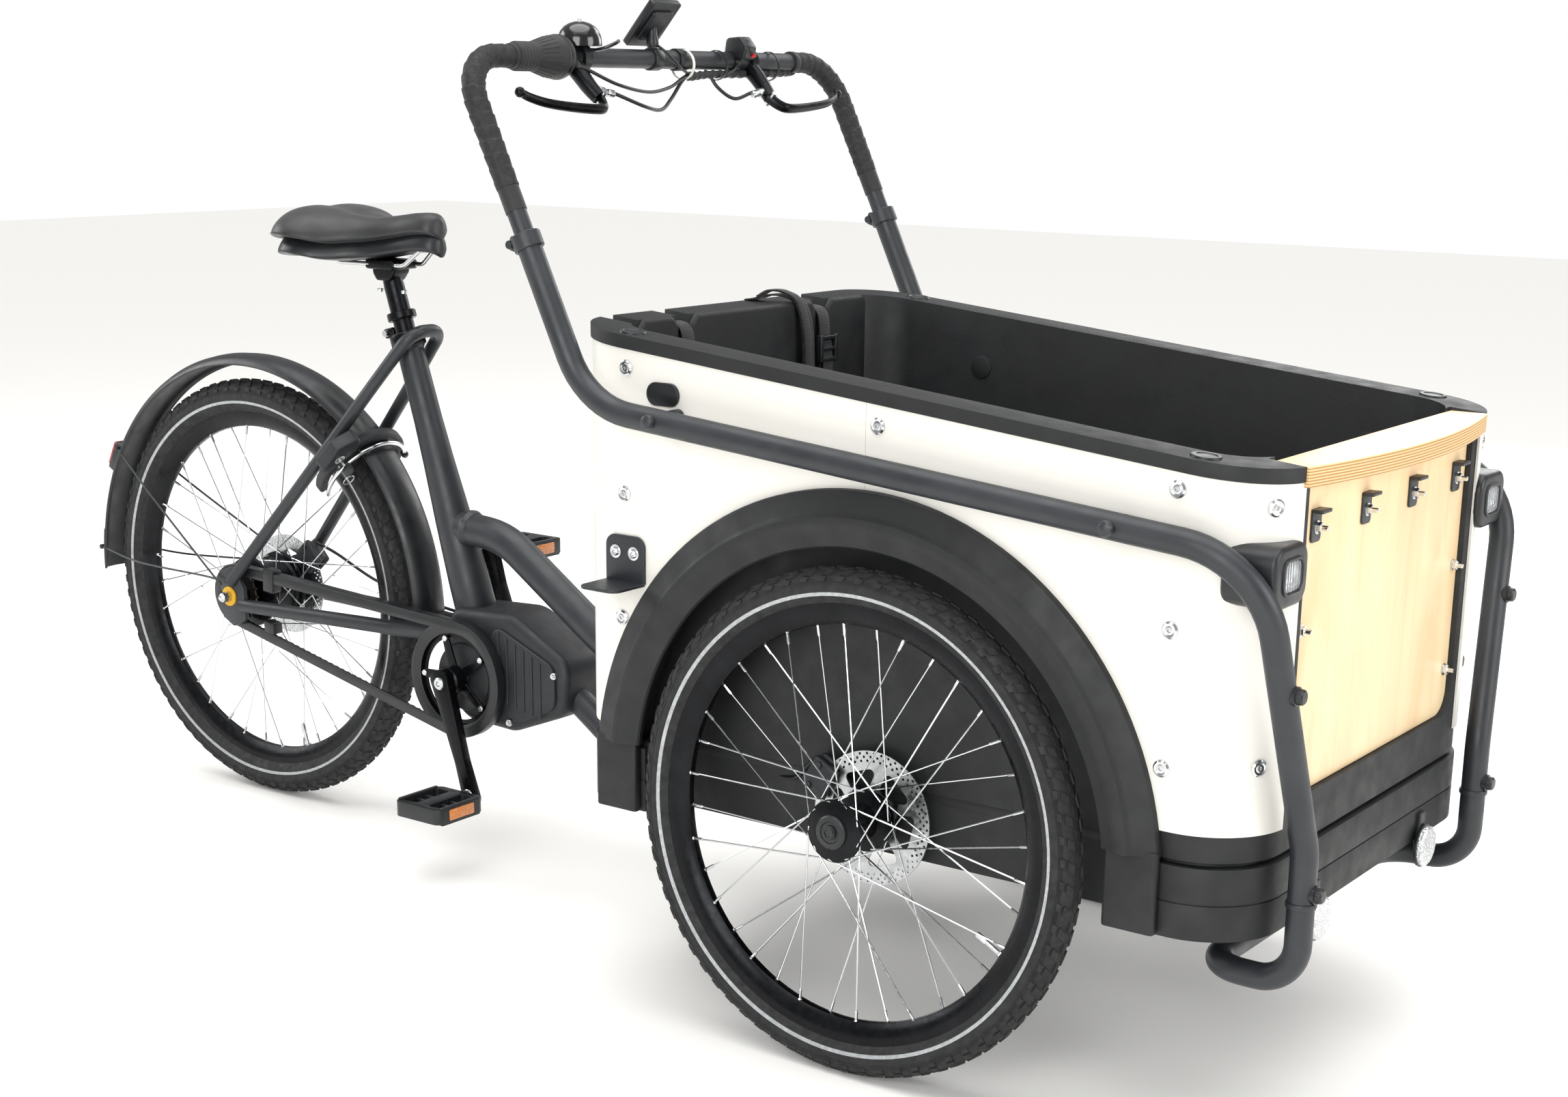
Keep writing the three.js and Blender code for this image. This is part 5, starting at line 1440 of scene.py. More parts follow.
hoop_line = [(1889, -258, 290.6), (1889, -258, 199), (1782, -254, 198)]
hoop = pipe("lower_bumper_steel", bend([*hoop_line, *[(x, -y, z) for x, y, z in hoop_line[::-1]]], 46),
    TUBE_R, POWDER, 36)
sleeves = [turned("sleeve", [(0, -3), (16.4, -3), (16.9, -2), (16.9, 2), (16.4, 3), (0, 3)], POWDER,
    at(1889, s * 258, 290.8),
                  (0, 0, 1), 40) for s in (-1, 1)]
give(gather("lower_bumper_tube", [hoop, *sleeves]), "front_chassis", "black_paint", "lower_bumper")

fixings = []
for side in (-1, 1):
    for x, z in ((1110, 746), (1700, 690)):
        fixings.append(turned("domed_bolt", [(0, 20.5), (4.4, 20), (7.6, 18.2), (8.8, 15.6), (8.8, 13),
            (0, 13)], POWDER,
                              at(x, side * SIDE_Y * (1 if x < 1200 else 0.967), z), (0, side, 0), 28))
        fixings.append(turned("spacer", square(0, -43, 9, -12), POWDER,
                              at(x, side * SIDE_Y * (1 if x < 1200 else 0.967), z), (0, side, 0), 28))
    for x, y, z in ((1875, 312, 530), (1889, 258, 304)):
        fixings.append(turned("cap_bolt", [(0, 25), (6.5, 24.6), (8.2, 23), (8.6, 20), (8.6, 17.4),
            (10.4, 17), (10.4, 12), (0, 12)],
                              ABS, at(x, side * y, z), (1, 0, 0), 28))
give(gather("tube_fixings", fixings), "front_chassis", "black_paint")

grommets = []
for side in (-1, 1):
    oval = [(x + 1088, z + 770) for x, z in rounded(square(-24, -14, 24, 14), 13.5, 8)]
    plate = soften(slab("grommet", oval, *sorted((side * 335.5, side * 340)), ABS, "xz"), 1.4, 3)
    grommets.append(plate)
give(gather("tube_grommets", grommets), "front_chassis", "moulded_black")


# ---- headlamps and reflectors ----
# Black lamp housings sit in the box's front corners, each with a mirrored cup behind a clear
# ribbed lens, and clear prism reflectors hang under the skirt.
def clear_lens():
    made, tree, shader, place = new_material("clear polycarbonate lens", "#f4f8fa", 0.06, ior=1.58,
        Transmission_Weight=0.92)
    ribs = node(tree, "ShaderNodeTexWave", {"Vector": place, "Scale": 1000 / 18}, wave_type="BANDS",
        bands_direction="Y")
    relief(tree, shader, ribs.outputs["Fac"], 0.8, 0.5)
    return made


def vacuum_chrome():
    made, tree, shader, place = new_material("vacuum-coated reflector cup", "#e6e8ea", 0.08, 1.0)
    facets = node(tree, "ShaderNodeTexVoronoi", {"Vector": place, "Scale": 1000 / 7})
    relief(tree, shader, facets.outputs["Distance"], 1.2, 0.9)
    return made


def prism_reflector():
    made, tree, shader, place = new_material("clear prism reflector", "#d9dcdf", 0.15, 0.55,
        Coat_Weight=1.0, Coat_Roughness=0.04)
    prisms = node(tree, "ShaderNodeTexVoronoi", {"Vector": place, "Scale": 1000 / 3}, distance="MANHATTAN")
    relief(tree, shader, prisms.outputs["Distance"], 1.0, 0.9)
    mottle(tree, place, shader, "#b9bdc1", "#f2f4f5", 2.6)
    return made


LENS, CHROME_CUP, PRISM = clear_lens(), vacuum_chrome(), prism_reflector()


def lamp_shape(name, y, half_y, half_z, radius, x0, x1, skin):
    corners = square(y - half_y, 648 - half_z, y + half_y, 648 + half_z)
    return slab(name, rounded(corners, radius, 8), x0, x1, skin, "yz")


def lamp_cup(y, depth):
    """A faceted mirror bowl behind the lens."""
    verts, faces, n = [], [], 40
    for r, x in ((1.0, 1865), (0.96, 1862), (0.8, 1858), (0.5, 1855), (0.16, 1854)):
        verts += [at(x, y + 20 * r * math.cos(2 * math.pi * k / n),
            648 + depth * r * math.sin(2 * math.pi * k / n)) for k in range(n)]
    for i in range(4):
        faces += [(i * n + k, i * n + (k + 1) % n, (i + 1) * n + (k + 1) % n, (i + 1) * n + k)
            for k in range(n)]
    faces.append(tuple(range(4 * n, 5 * n)))
    return shape("cup", verts, faces, CHROME_CUP, 20)


for side, suffix in ((-1, "right"), (1, "left")):
    y = side * 291
    housing = soften(lamp_shape("housing", side * 292, 40, 33, 20, 1806, 1868, ABS), 6, 5)
    corner = slab("corner", box_outline(0.6, 20), 560, 740, ABS)
    housing = combine(housing, [corner, lamp_shape("recess", y, 22.5, 17.5, 11, 1853, 1880, ABS)], sharp=35)
    ring = combine(lamp_shape("ring", y, 25, 20, 13, 1862, 1870, ABS),
        [lamp_shape("hole", y, 21, 16, 10, 1850, 1880, ABS)])
    glass = soften(lamp_shape("glass", y, 21, 16, 10, 1866, 1868.6, LENS), 1, 3)
    emitter = turned("emitter", [(0, 3), (3, 2.8), (4.4, 1.6), (4.6, 0), (0, 0)], STRIPE, at(1854, y, 648),
        (1, 0, 0), 20)
    give(gather(f"headlamp_{suffix}_unit", [housing, lamp_cup(y, 15.6), soften(ring, 1.5, 3), emitter,
        glass]), "front_chassis",
         "moulded_black", f"headlamp_{suffix}")

reflectors = []
for side in (-1, 1):
    disc = turned("reflector", [(0, 4.4), (22, 4), (24.5, 2), (25, 0), (25, -2), (0, -2)], PRISM,
        at(1871, side * 158, 242), (1, 0, 0), 40)
    back = turned("back", [(0, -1.8), (26.4, -1.8), (26.8, -3), (26, -6), (0, -6)], ABS,
        at(1871, side * 158, 242), (1, 0, 0), 40)
    arm = soften(slab("arm", rounded(square(side * 158 - 9, 240, side * 158 + 9, 284), 3, 3),
                      1858, 1865, ABS, "yz"), 1, 2)
    reflectors += [disc, back, arm]
give(gather("front_reflectors", reflectors), "front_chassis", "moulded_black")


# ---- side shelf, chassis and steering pin ----
# The folded steel shelf bracket has two washered bolts. The chassis beam, its yoke and the
# pin are powder-coated and zinc-plated steel.
bracket_outline = rounded(square(1000, 538, 1060, 596), [2, 2, 14, 14], 8)
upright_leaf = soften(slab("leaf", bracket_outline, -340.4, -336.4, POWDER, "xz"), 1.2, 3)
shelf_leaf = soften(slab("shelf", rounded(square(1000, -396, 1060, -338), [14, 14, 2, 2], 8), 536, 540,
                         POWDER), 1.2, 3)
fold_fillet = soften(slab("fold", rounded([(-342.5, 537), (-337, 537), (-337, 543)], [1, 1, 1], 4), 1001,
    1059, POWDER, "yz"), 0.4, 2)
shelf = gather("shelf_bracket_steel", [upright_leaf, shelf_leaf, fold_fillet])
give(shelf, "front_chassis", "black_paint", "shelf_bracket")
shelf_bolts = []
for x in (1016, 1044):
    shelf_bolts.append(turned("bolt", [(0, 1.8), (2.2, 1.8), (2.4, 4.2), (4.4, 4.4), (5.4, 3.6), (5.6, 1),
        (8.2, 0.9), (8.2, 0), (0, 0)],
                              STAINLESS, at(x, -340.4, 575), (0, -1, 0), 28))
give(gather("shelf_bolts", shelf_bolts), "front_chassis", "steel")

for name, skin in (("chassis_beam", POWDER), ("steering_pin", ZINC)):
    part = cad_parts[name]
    part.data.materials.clear()
    part.data.materials.append(skin)


# ---- cranks and pedals ----
# Forged and black-anodised arms on a steel axle, a five-arm spider with a ring guard, and
# moulded pedals with rubber treads and an amber reflector in each long face.
def forged_arm(name, turn, y0, y1):
    along = Vector((math.cos(turn), math.sin(turn)))
    across = Vector((-along.y, along.x))

    def corner(length, width):
        return (470 + along.x * length + across.x * width, 271 + along.y * length + across.y * width)
    outline = rounded([corner(187, -12.5), corner(187, 12.5), corner(120, 9.5), corner(40, 14),
        corner(-20, 18),
                       corner(-20, -18), corner(40, -14), corner(120, -9.5)],
                       [12, 12, 60, 60, 14, 14, 60, 60], 8)
    return soften(slab(name, outline, y0, y1, ANODISED, "xz"), 3.4, 4, 35, 60)


def amber_reflector():
    made, tree, shader, place = new_material("amber prism reflector", "#e07a12", 0.16, ior=1.49,
        Coat_Weight=0.8,
                                             Coat_Roughness=0.05)
    prisms = node(tree, "ShaderNodeTexVoronoi", {"Vector": place, "Scale": 1000 / 2.4},
        distance="MANHATTAN")
    relief(tree, shader, prisms.outputs["Distance"], 0.8, 0.9)
    mottle(tree, place, shader, "#c9650a", "#f0952a", 2.2)
    return made


def soft_rubber():
    made, tree, shader, place = new_material("soft black rubber", "#161617", 0.62, Sheen_Weight=0.1)
    mottle(tree, place, shader, "#131314", "#1e1e20", 12)
    grain = node(tree, "ShaderNodeTexNoise", {"Vector": place, "Scale": 1000 / 0.5, "Detail": 2})
    relief(tree, shader, grain.outputs["Fac"], 0.07, 0.6)
    return made


AMBER, SOFT_RUBBER = amber_reflector(), soft_rubber()
CRANK_TURN = math.radians(-72.5)


def at_crank(length, turn):
    return 470 + length * math.cos(turn), 271 + length * math.sin(turn)


spider = [turned("boss", [(0, -78.5), (16, -78.5), (19, -76), (20, -70), (20, -57), (12, -54), (0, -54)],
    ANODISED, at(470, 0, 271))]
for k in range(5):
    turn = CRANK_TURN + math.radians(36 + 72 * k)
    c, s = math.cos(turn), math.sin(turn)

    def spot(length, width):
        return (470 + c * length - s * width, 271 + s * length + c * width)
    arm = slab("arm", rounded([spot(10, -9), spot(66, -6), spot(66, 6), spot(10, 9)][::-1], [2, 5, 5, 2],
        5), -61, -56.8, ANODISED, "xz")
    spider.append(soften(arm, 1.4, 3))
    spider.append(turned("ring_bolt", [(0, -63), (3.6, -63), (4.4, -62.2), (4.4, -60), (0, -60)], ZINC,
        at(spot(62, 0)[0], 0, spot(62, 0)[1]),
                         (0, 1, 0), 20))
ring_plate = turned("ring_plate", square(62, -56.4, 77, -53.6), ANODISED, at(470, 0, 271), (0, 1, 0), 96,
    closed=True)
guard_ring = turned("guard_ring", [(70, -60), (85.6, -60), (87, -61.4), (87, -63.4), (85, -64.4),
    (71, -62.6), (69.4, -61.6)], ABS,
                    at(470, 0, 271), (0, 1, 0), 120, closed=True)
give(gather("spider_and_ring", [*spider, ring_plate, guard_ring]), "cranks", "black_alloy", "chainring")

for side, suffix, turn, y0, y1 in ((-1, "right", CRANK_TURN, -94, -80),
    (1, "left", CRANK_TURN + math.pi, 70, 84)):
    arm = forged_arm("arm", turn, y0, y1)
    face = y0 if side < 0 else y1
    bolt = turned("crank_bolt", [(0, 1.2), (4, 1.2), (4.2, 3.4), (7.6, 3.6), (9, 2.4), (9.4, 0), (9.4, -3),
        (0, -3)], ZINC,
                  at(470, face, 271), (0, side, 0), 32)
    ex, ez = at_crank(170, turn)
    seat_ring = turned("spindle_end", [(5.4, 0), (9.6, 0), (9.8, 0.6), (9, 1.4), (5.4, 1.4)], ZINC,
        at(ex, face, ez), (0, side, 0), 28,
                       closed=True)
    parts = [arm, bolt, seat_ring]
    if side > 0:
        parts.append(turned("axle", square(0, -92, 11.9, 72), ZINC, at(470, 0, 271), (0, 1, 0), 40))
    give(gather(f"crank_{suffix}_arm", parts), "cranks", "black_alloy", f"crank_{suffix}")

    inner = -94 if side < 0 else 84

    def y_at(distance):
        return inner + side * distance
    parts = [turned("spindle", [(0, -13), (5, -13), (5, 10), (7.4, 12), (7.4, 20), (6, 22), (6, 100),
        (0, 100)], ZINC,
                    at(ex, inner, ez), (0, side, 0), 24)]
    lo, hi = sorted((y_at(13), y_at(107)))
    frame_out = rounded(square(ex - 45, lo, ex + 45, hi), 12, 8)
    body = slab("body", frame_out, ez - 11, ez + 11, ABS)
    windows = []
    for s in (-1, 1):
        x0, x1 = sorted((ex + s * 12, ex + s * 38))
        windows.append(slab("window", rounded(square(x0, lo + 12, x1, hi - 12), 5, 5), ez - 20, ez + 20,
            ABS))
    body = soften(combine(body, windows), 1.8, 3)
    parts.append(body)
    for s in (-1, 1):
        for lift in (-1, 1):
            z0, z1 = sorted((ez + lift * 10.4, ez + lift * 13.4))
            x0, x1 = sorted((ex + s * 38.6, ex + s * 44.4))
            parts.append(soften(slab("tread", rounded(square(x0, lo + 8, x1, hi - 8), 2, 4), z0, z1,
                                     SOFT_RUBBER), 1, 2))
            parts += [soften(slab("rib", rounded(square(min(ex + s * 12, ex + s * 38), lo + 20 + 18 * k,
                max(ex + s * 12, ex + s * 38), lo + 24 + 18 * k),
                                                 1, 2), ez - 7, ez + 7, ABS), 0.7, 1)
                                                 for k in range(3)] if lift > 0 else []
        x0, x1 = sorted((ex + s * 43.5, ex + s * 46))
        parts.append(soften(slab("amber", rounded(square(lo + 22, ez - 8, hi - 22, ez + 8), 2, 4), x0, x1,
                                 AMBER, "yz"), 0.8, 2))
    give(gather(f"pedal_{suffix}_unit", parts), f"pedal_{suffix}", "moulded_black", f"pedal_{suffix}")


# ---- seat post and saddle ----
# A black aluminium post in a bolted collar, a two-bolt head gripping steel rails, and a wide
# foam saddle under one stretched vinyl cover, creased along its lower seam.
def along_seat(distance):
    return SEAT_FOOT + seat_axis * distance * MM


def at_seat(profile, distance, skin, closed=False, segments=48):
    return turned("seat_turning", profile, skin, along_seat(distance), seat_axis, segments, closed=closed)


post = at_seat([(0, -170), (15, -170), (15, 70), (14, 84), (0, 84)], seat_length, ANODISED)
neck = soften(slab("head", rounded([(289, 838), (316, 838), (326, 850), (330, 868), (280, 868), (282, 848)],
    [6, 6, 8, 6, 6, 8], 5),
                   -17, 17, ANODISED, "xz"), 4, 4)
yoke = soften(slab("yoke", rounded(square(276, 855, 334, 869), 5, 4), -26, 26, ANODISED, "xz"), 3, 3)
yoke_bolts = [turned("bolt", [(0, -30), (4.6, -30), (5, -29), (5, -25), (0, -25)], ZINC, at(x, 0, 850),
    (0, 0, 1), 20) for x in (281, 329)]
rails = [pipe("rail", bend([(196, s * 40, 889), (222, s * 25, 862), (350, s * 20, 862), (384, s * 14, 889)],
    [18, 18]), 3.5, ZINC, 16)
         for s in (-1, 1)]
give(gather("seat_post_and_rails", [post, neck, yoke, *yoke_bolts, *rails]), "seat", "black_alloy",
    "seat_post")

collar = at_seat([(20.6, -20), (25, -20), (25.6, -19), (25.6, -3), (25, -2), (20.6, -2)], seat_length,
    ANODISED, True)
ears = soften(slab("ears", rounded([(296, 752), (316, 757), (312, 771), (291, 766)], 4, 4), -9, 9, ANODISED,
    "xz"), 2.5, 3)
collar_bolt = turned("collar_bolt", [(0, -15), (4.6, -15), (5, -14), (5, -9), (3, -9), (3, 10), (5, 10),
    (5, 14), (0, 15)], ZINC,
                     at(301, 0, 761), (0, 1, 0), 20)
upper_ring = at_seat([(15.2, 20), (20.5, 20), (21.5, 21.5), (21.5, 30), (20.5, 31.5), (15.2, 31.5)],
    seat_length, ANODISED, True)
give(gather("seat_clamp", [collar, ears, collar_bolt]), "rear_frame", "black_alloy")
give(gather("post_height_ring", [upper_ring]), "rear_frame", "black_alloy")


def saddle_vinyl():
    made, tree, shader, place = new_material("black grained saddle vinyl", "#18191b", 0.46,
        Sheen_Weight=0.08,
                                             Coat_Weight=0.12, Coat_Roughness=0.35)
    mottle(tree, place, shader, "#141517", "#1f2022", 45)
    vary_roughness(tree, place, shader, 0.38, 0.56, 20)
    pores = node(tree, "ShaderNodeTexVoronoi", {"Vector": place, "Scale": 1000 / 1.3},
        feature="DISTANCE_TO_EDGE")
    relief(tree, shader, pores.outputs["Distance"], 0.16, 0.5)
    return made


VINYL = saddle_vinyl()
WIDTHS = [(140, 6), (143, 50), (150, 82), (165, 104), (185, 114), (208, 114), (230, 102), (250, 82),
    (272, 60), (300, 42),
          (330, 33), (360, 29), (388, 26), (400, 21), (407, 12), (410, 3)]
TOPS = [(140, 921), (146, 929), (160, 936), (185, 940), (215, 937), (250, 929), (290, 926), (330, 930),
    (370, 936),
        (395, 936), (405, 931), (410, 922)]


def between(table, x):
    for (x0, a), (x1, b) in zip(table, table[1:]):
        if x <= x1:
            t = (x - x0) / (x1 - x0)
            t = t * t * (3 - 2 * t) * 0.5 + t * 0.5
            return a + (b - a) * t
    return table[-1][1]


def saddle_loft(name, shrink, drop, depth, skin, groove=3.5):
    """Cross-sections of the saddle from tail to nose: a crowned top over a tucked lower edge."""
    stations = [140.6, 142, 145, 149, 155, 162, 172, 184, 196, 208, 220, 232, 245, 258, 272, 288, 306, 326,
        346, 366, 382, 393, 401, 406, 409.4]
    verts, faces = [], []
    n = 48
    for x in stations:
        half = between(WIDTHS, x) * shrink
        top = between(TOPS, x) - drop
        edge = top - 17 - 19 * min(1, half / 90)
        for k in range(n):
            a = 2 * math.pi * k / n
            y = half * math.copysign(abs(math.cos(a)) ** 0.9, math.cos(a))
            crown = 1 - abs(y / half) ** 2.6 if abs(y) < half else 0
            if math.sin(a) >= 0:
                dip = groove * math.exp(-(y / 9) ** 2) * math.exp(-((x - 240) / 70) ** 2)
                saddle_wings = 3 * math.sin(min(1, abs(y) / max(half, 1)) * math.pi) * min(1, half / 80)
                z = edge + (top - edge) * crown ** 0.6 - dip + saddle_wings
            else:
                z = edge - depth * max(0, 1 - abs(y / half) ** 3) ** 0.5
            verts.append(at(x, y, z))
    for i in range(len(stations) - 1):
        faces += [(i * n + k, i * n + (k + 1) % n, (i + 1) * n + (k + 1) % n, (i + 1) * n + k)
            for k in range(n)]
    faces += [tuple(range(n)), tuple(range((len(stations) - 1) * n, len(stations) * n))]
    made = shape(name, verts, faces, skin, 70)
    smooth = made.modifiers.new("surface", "SUBSURF")
    smooth.levels = smooth.render_levels = 1
    return settle(made, 70)


cover = saddle_loft("saddle_cover", 1.02, -2, 8, VINYL)
give(cover, "seat", "saddle_cover", "saddle")
base = saddle_loft("saddle_base", 0.9, 24, 8, ABS, 0)
bumper = soften(slab("tail_bumper", rounded([(150, -70), (205, -62), (205, 62), (150, 70)], 20, 8), 872,
    902, ABS), 9, 5)
nose_cup = soften(slab("nose_cup", rounded([(368, -17), (402, -12), (402, 12), (368, 17)], 8, 6), 884, 908,
    ABS), 4, 4)
give(gather("saddle_shell", [base, bumper, nose_cup]), "seat", "moulded_black")

rim_route = []
for k in range(60):
    t = k / 59
    x = 150 + 246 * t
    rim_route.append((x, between(WIDTHS, x)))
stitch_places = []
for side in (-1, 1):
    for (x0, w0), (x1, w1) in zip(rim_route, rim_route[1:]):
        turn = math.atan2(side * (w1 - w0), x1 - x0)
        z = between(TOPS, x0) - 17 - 19 * min(1, w0 / 90) + 3.5
        stitch_places.append(Matrix.Translation(at(x0, side * (1.02 * w0 - 0.1), z)) @ Matrix.Rotation(turn,
            4, "Z"))
stitch = turned("stitch", [(0, -1.5), (0.45, -1.0), (0.45, 1.0), (0, 1.5)], VINYL, (0, 0, 0), (1, 0, 0), 6)
give(copies("saddle_stitches", stitch, len(stitch_places), places=stitch_places), "seat", "saddle_cover")


# ---- frame lock ----
# A ring lock over the rear wheel: a nylon housing on a steel horseshoe, a round shackle with
# a thumb lever, and a key with a moulded bow and a split ring.
out_way = Vector((0.664, 0, 0.7477)).normalized()
ahead_way = Vector((out_way.z, 0, -out_way.x))
lock_centre = wheel_centre + out_way * 315 * MM


def at_lock(y, out, ahead):
    return lock_centre + Vector((0, y, 0)) * MM + out_way * out * MM + ahead_way * ahead * MM


def lock_plate(name, outline, a, b, skin):
    n = len(outline)
    verts = [at_lock(-u, v, w) for w in (a, b) for u, v in outline]
    faces = [tuple(range(n)), tuple(range(n, 2 * n))]
    faces += [(k, (k + 1) % n, n + (k + 1) % n, n + k) for k in range(n)]
    return shape(name, verts, faces, skin)


def band(inner, outer, first, last, steps=48):
    turns = [math.radians(first + (last - first) * k / steps) for k in range(steps + 1)]
    return [(outer * math.cos(t), outer * math.sin(t)) for t in turns] + [
        (inner * math.cos(t), inner * math.sin(t)) for t in turns[::-1]]


horseshoe = soften(lock_plate("horseshoe", band(60.8, 75, -38, 218), 11.2, 28.8, NYLON), 4.5, 4, 35, 60)
body = lock_plate("body", rounded([(80, 8), (97, 16), (94, 60), (54, 86), (50, 52)], 9, 6), 11, 34, NYLON)
body = combine(soften(body, 4, 4), [lock_plate("bore", circle(60.8, 60), 4, 42, NYLON)])
keyway = turned("keyway", [(0, 1), (7.4, 1), (8.4, 0.4), (8.4, -4), (0, -4)], ZINC, at_lock(-76, 40, 34),
    ahead_way, 28)
give(gather("frame_lock_housing", [horseshoe, body, keyway]), "rear_frame", "moulded_black", "frame_lock")

shackle_route = [at_lock(-67.5 * math.cos(math.radians(t)), 67.5 * math.sin(math.radians(t)), 37.8)
    for t in range(150, -38, -4)]
shackle = pipe("shackle", shackle_route, 3.3, STAINLESS, 16)
thumb = turned("thumb", [(0, -6), (3.4, -6), (5.6, -3), (5.6, 3), (3.4, 6), (0, 6)], ABS, shackle_route[0],
    ahead_way, 20)
give(gather("lock_shackle_bar", [shackle, thumb]), "lock_shackle", "steel", "lock_shackle")

key_start = at_lock(-76, 40, 34.5)
key_blade = turned("blade", square(0, 0, 2.1, 13), ZINC, key_start, ahead_way, 12)
key_bow = turned("bow", [(0, -9), (8.4, -9), (9, -8), (9, 8), (8.4, 9), (0, 9)], ABS, at_lock(-76, 40, 56),
    out_way, 28)
moved(key_bow, Matrix.Translation(at_lock(-76, 40, 56)) @ Matrix.Diagonal((1, 0.32, 1,
    1)) @ Matrix.Translation(-at_lock(-76, 40, 56)))
split_ring = sweep("split_ring", [at_lock(-76 + 9 * math.sin(t), 30 + 9 * math.cos(t), 66) for t in
                                  [2 * math.pi * k / 36 for k in range(36)]], lambda i, t: circle(0.8, 8),
                                      ZINC, closed=True)
give(gather("lock_key_and_ring", [key_blade, key_bow, split_ring]), "lock_key", "steel", "lock_key")


# ---- handlebar ----
# One bent steel bar slides in the side tubes and is held by split collars. Rubberised tape
# is wound over both bends, each turn overlapping the last, and ends in a heat-shrunk sleeve.
def wound_tape():
    made, tree, shader, place = new_material("perforated rubberised bar tape", "#101011", 0.66)
    mottle(tree, place, shader, "#111112", "#1d1d1f", 7)
    dimples = node(tree, "ShaderNodeTexVoronoi", {"Vector": place, "Scale": 1000 / 3.2})
    relief(tree, shader, dimples.outputs["Distance"], 0.5, 0.8)
    vary_roughness(tree, place, shader, 0.55, 0.78, 6)
    return made


def cable_jacket():
    made, tree, shader, place = new_material("black PVC cable jacket", "#121214", 0.38)
    mottle(tree, place, shader, "#0f0f11", "#19191b", 9)
    return made


def gloss_black():
    made, tree, shader, place = new_material("gloss black painted steel", "#0d0e10", 0.16, Coat_Weight=0.6,
        Coat_Roughness=0.06)
    mottle(tree, place, shader, "#0b0c0e", "#121316", 30)
    vary_roughness(tree, place, shader, 0.12, 0.22, 15)
    return made


TAPE, JACKET, GLOSS = wound_tape(), cable_jacket(), gloss_black()
LEG = Vector((-0.48, 0, 1)).normalized()
BAR_TOP_X, BAR_Z = 915 - 0.48 * (1152 - 944), 1152
foot = (915 - LEG.x * 85, 944 - LEG.z * 85)
leg_line = [(foot[0], -379, foot[1]), (BAR_TOP_X, -379, BAR_Z)]
bar_route = bend([*leg_line, *[(x, -y, z) for x, y, z in leg_line[::-1]]], 62, 4)
bar = pipe("bar", bar_route, 12, POWDER, 36)
perches = [pipe("perch", [at(BAR_TOP_X, s * 184, BAR_Z), at(850, s * 184, 1114)], 6, ANODISED, 20)
    for s in (-1, 1)]


def wound(name, side):
    corners = [(915 - 0.48 * (1001 - 944), side * 379, 1001), (BAR_TOP_X, side * 379, BAR_Z),
        (BAR_TOP_X, side * 291, BAR_Z)]
    rough = bend(corners, 62, 4)
    route, gap = [], 0.0024
    for a, b in zip(rough, rough[1:]):
        steps = max(1, round((b - a).length / gap))
        route += [a + (b - a) * k / steps for k in range(steps)]
    route.append(rough[-1])
    lap, sides = 17.0, 36

    def section(i, t):
        ring = []
        for k in range(sides):
            phase = (i * gap / MM / lap + side * k / sides) % 1
            end = min(1, 3 * t, 3 * (1 - t)) * 0.5 + 0.5
            ring.append((13.4 + 1.5 * phase * end, 2 * math.pi * k / sides))
        return [(r * math.cos(a), r * math.sin(a)) for r, a in ring]
    return sweep(name, route, section, TAPE, 25)


tapes = [wound("tape", s) for s in (-1, 1)]
sleeve_parts = []
for s in (-1, 1):
    low_end, high_end = at(915 - 0.48 * 30, s * 379, 974), at(915 - 0.48 * 64, s * 379, 1008)
    sleeve_parts.append(pipe("shrink_sleeve", [low_end, high_end], 13.2, SOFT_RUBBER, 32))
    sleeve_parts.append(turned("tape_end", [(12.2, -5), (14.6, -5), (15, -4), (15, 4), (14.6, 5),
        (12.2, 5)], SOFT_RUBBER,
                               at(BAR_TOP_X, s * 289, BAR_Z), (0, 1, 0), 36, closed=True))
give(gather("handlebar_and_tape", [bar, *perches, *tapes, *sleeve_parts]), "handlebar", "black_paint",
    "handlebar")

collars = []
for s in (-1, 1):
    centre = at(915, s * 379, 944)
    collars.append(turned("collar", [(12.6, -14), (17.6, -14), (18.4, -13), (18.4, 4), (17.6, 5),
        (12.6, 5)], POWDER, centre, LEG, 44,
                          closed=True))
    ear = soften(slab("ear", rounded([(892, 930), (907, 926), (910, 943), (896, 947)], 4, 4), s * 379 - 8,
        s * 379 + 8, POWDER, "xz"), 2, 3)
    pin = turned("pin", [(0, -14), (4.8, -14), (5.2, -13), (5.2, -9), (3, -8.6), (3, 9), (5, 9), (5, 13),
        (0, 13)], POWDER,
                 at(899, s * 379, 936), (0, 1, 0), 20)
    collars += [ear, pin]
give(gather("bar_collars", collars), "front_chassis", "black_paint")


# ---- grip, brake levers, bell, switch and display ----
grip_profile = [(12.6, 0), (15.6, 0), (16.8, 1.5)]
for k in range(5):
    grip_profile += [(16.8, 3 + 6 * k), (17.8, 4.5 + 6 * k), (17.8, 6.5 + 6 * k), (16.8, 8 + 6 * k)]
grip_profile += [(17.6, 34), (20, 44), (23.4, 56), (25.8, 66), (26.8, 74), (26.8, 84), (25, 88.6), (21, 90),
    (12.6, 90)]
grip = turned("grip", grip_profile, SOFT_RUBBER, at(BAR_TOP_X, -287, BAR_Z), (0, 1, 0), 64, 24, closed=True)
rib_places = []
for k in range(24):
    turn = Matrix.Rotation(2 * math.pi * k / 24, 4, "Y")
    lean = Matrix.Rotation(math.radians(15), 4, "X")
    rib_places.append(Matrix.Translation(at(BAR_TOP_X, -237, BAR_Z)) @ turn @ Matrix.Translation((0, 0,
        20.6 * MM)) @ lean)
rib = soften(slab("rib", rounded(square(-1, -14, 1, 14), 1, 3), -1, 1.6, SOFT_RUBBER), 0.5, 2)
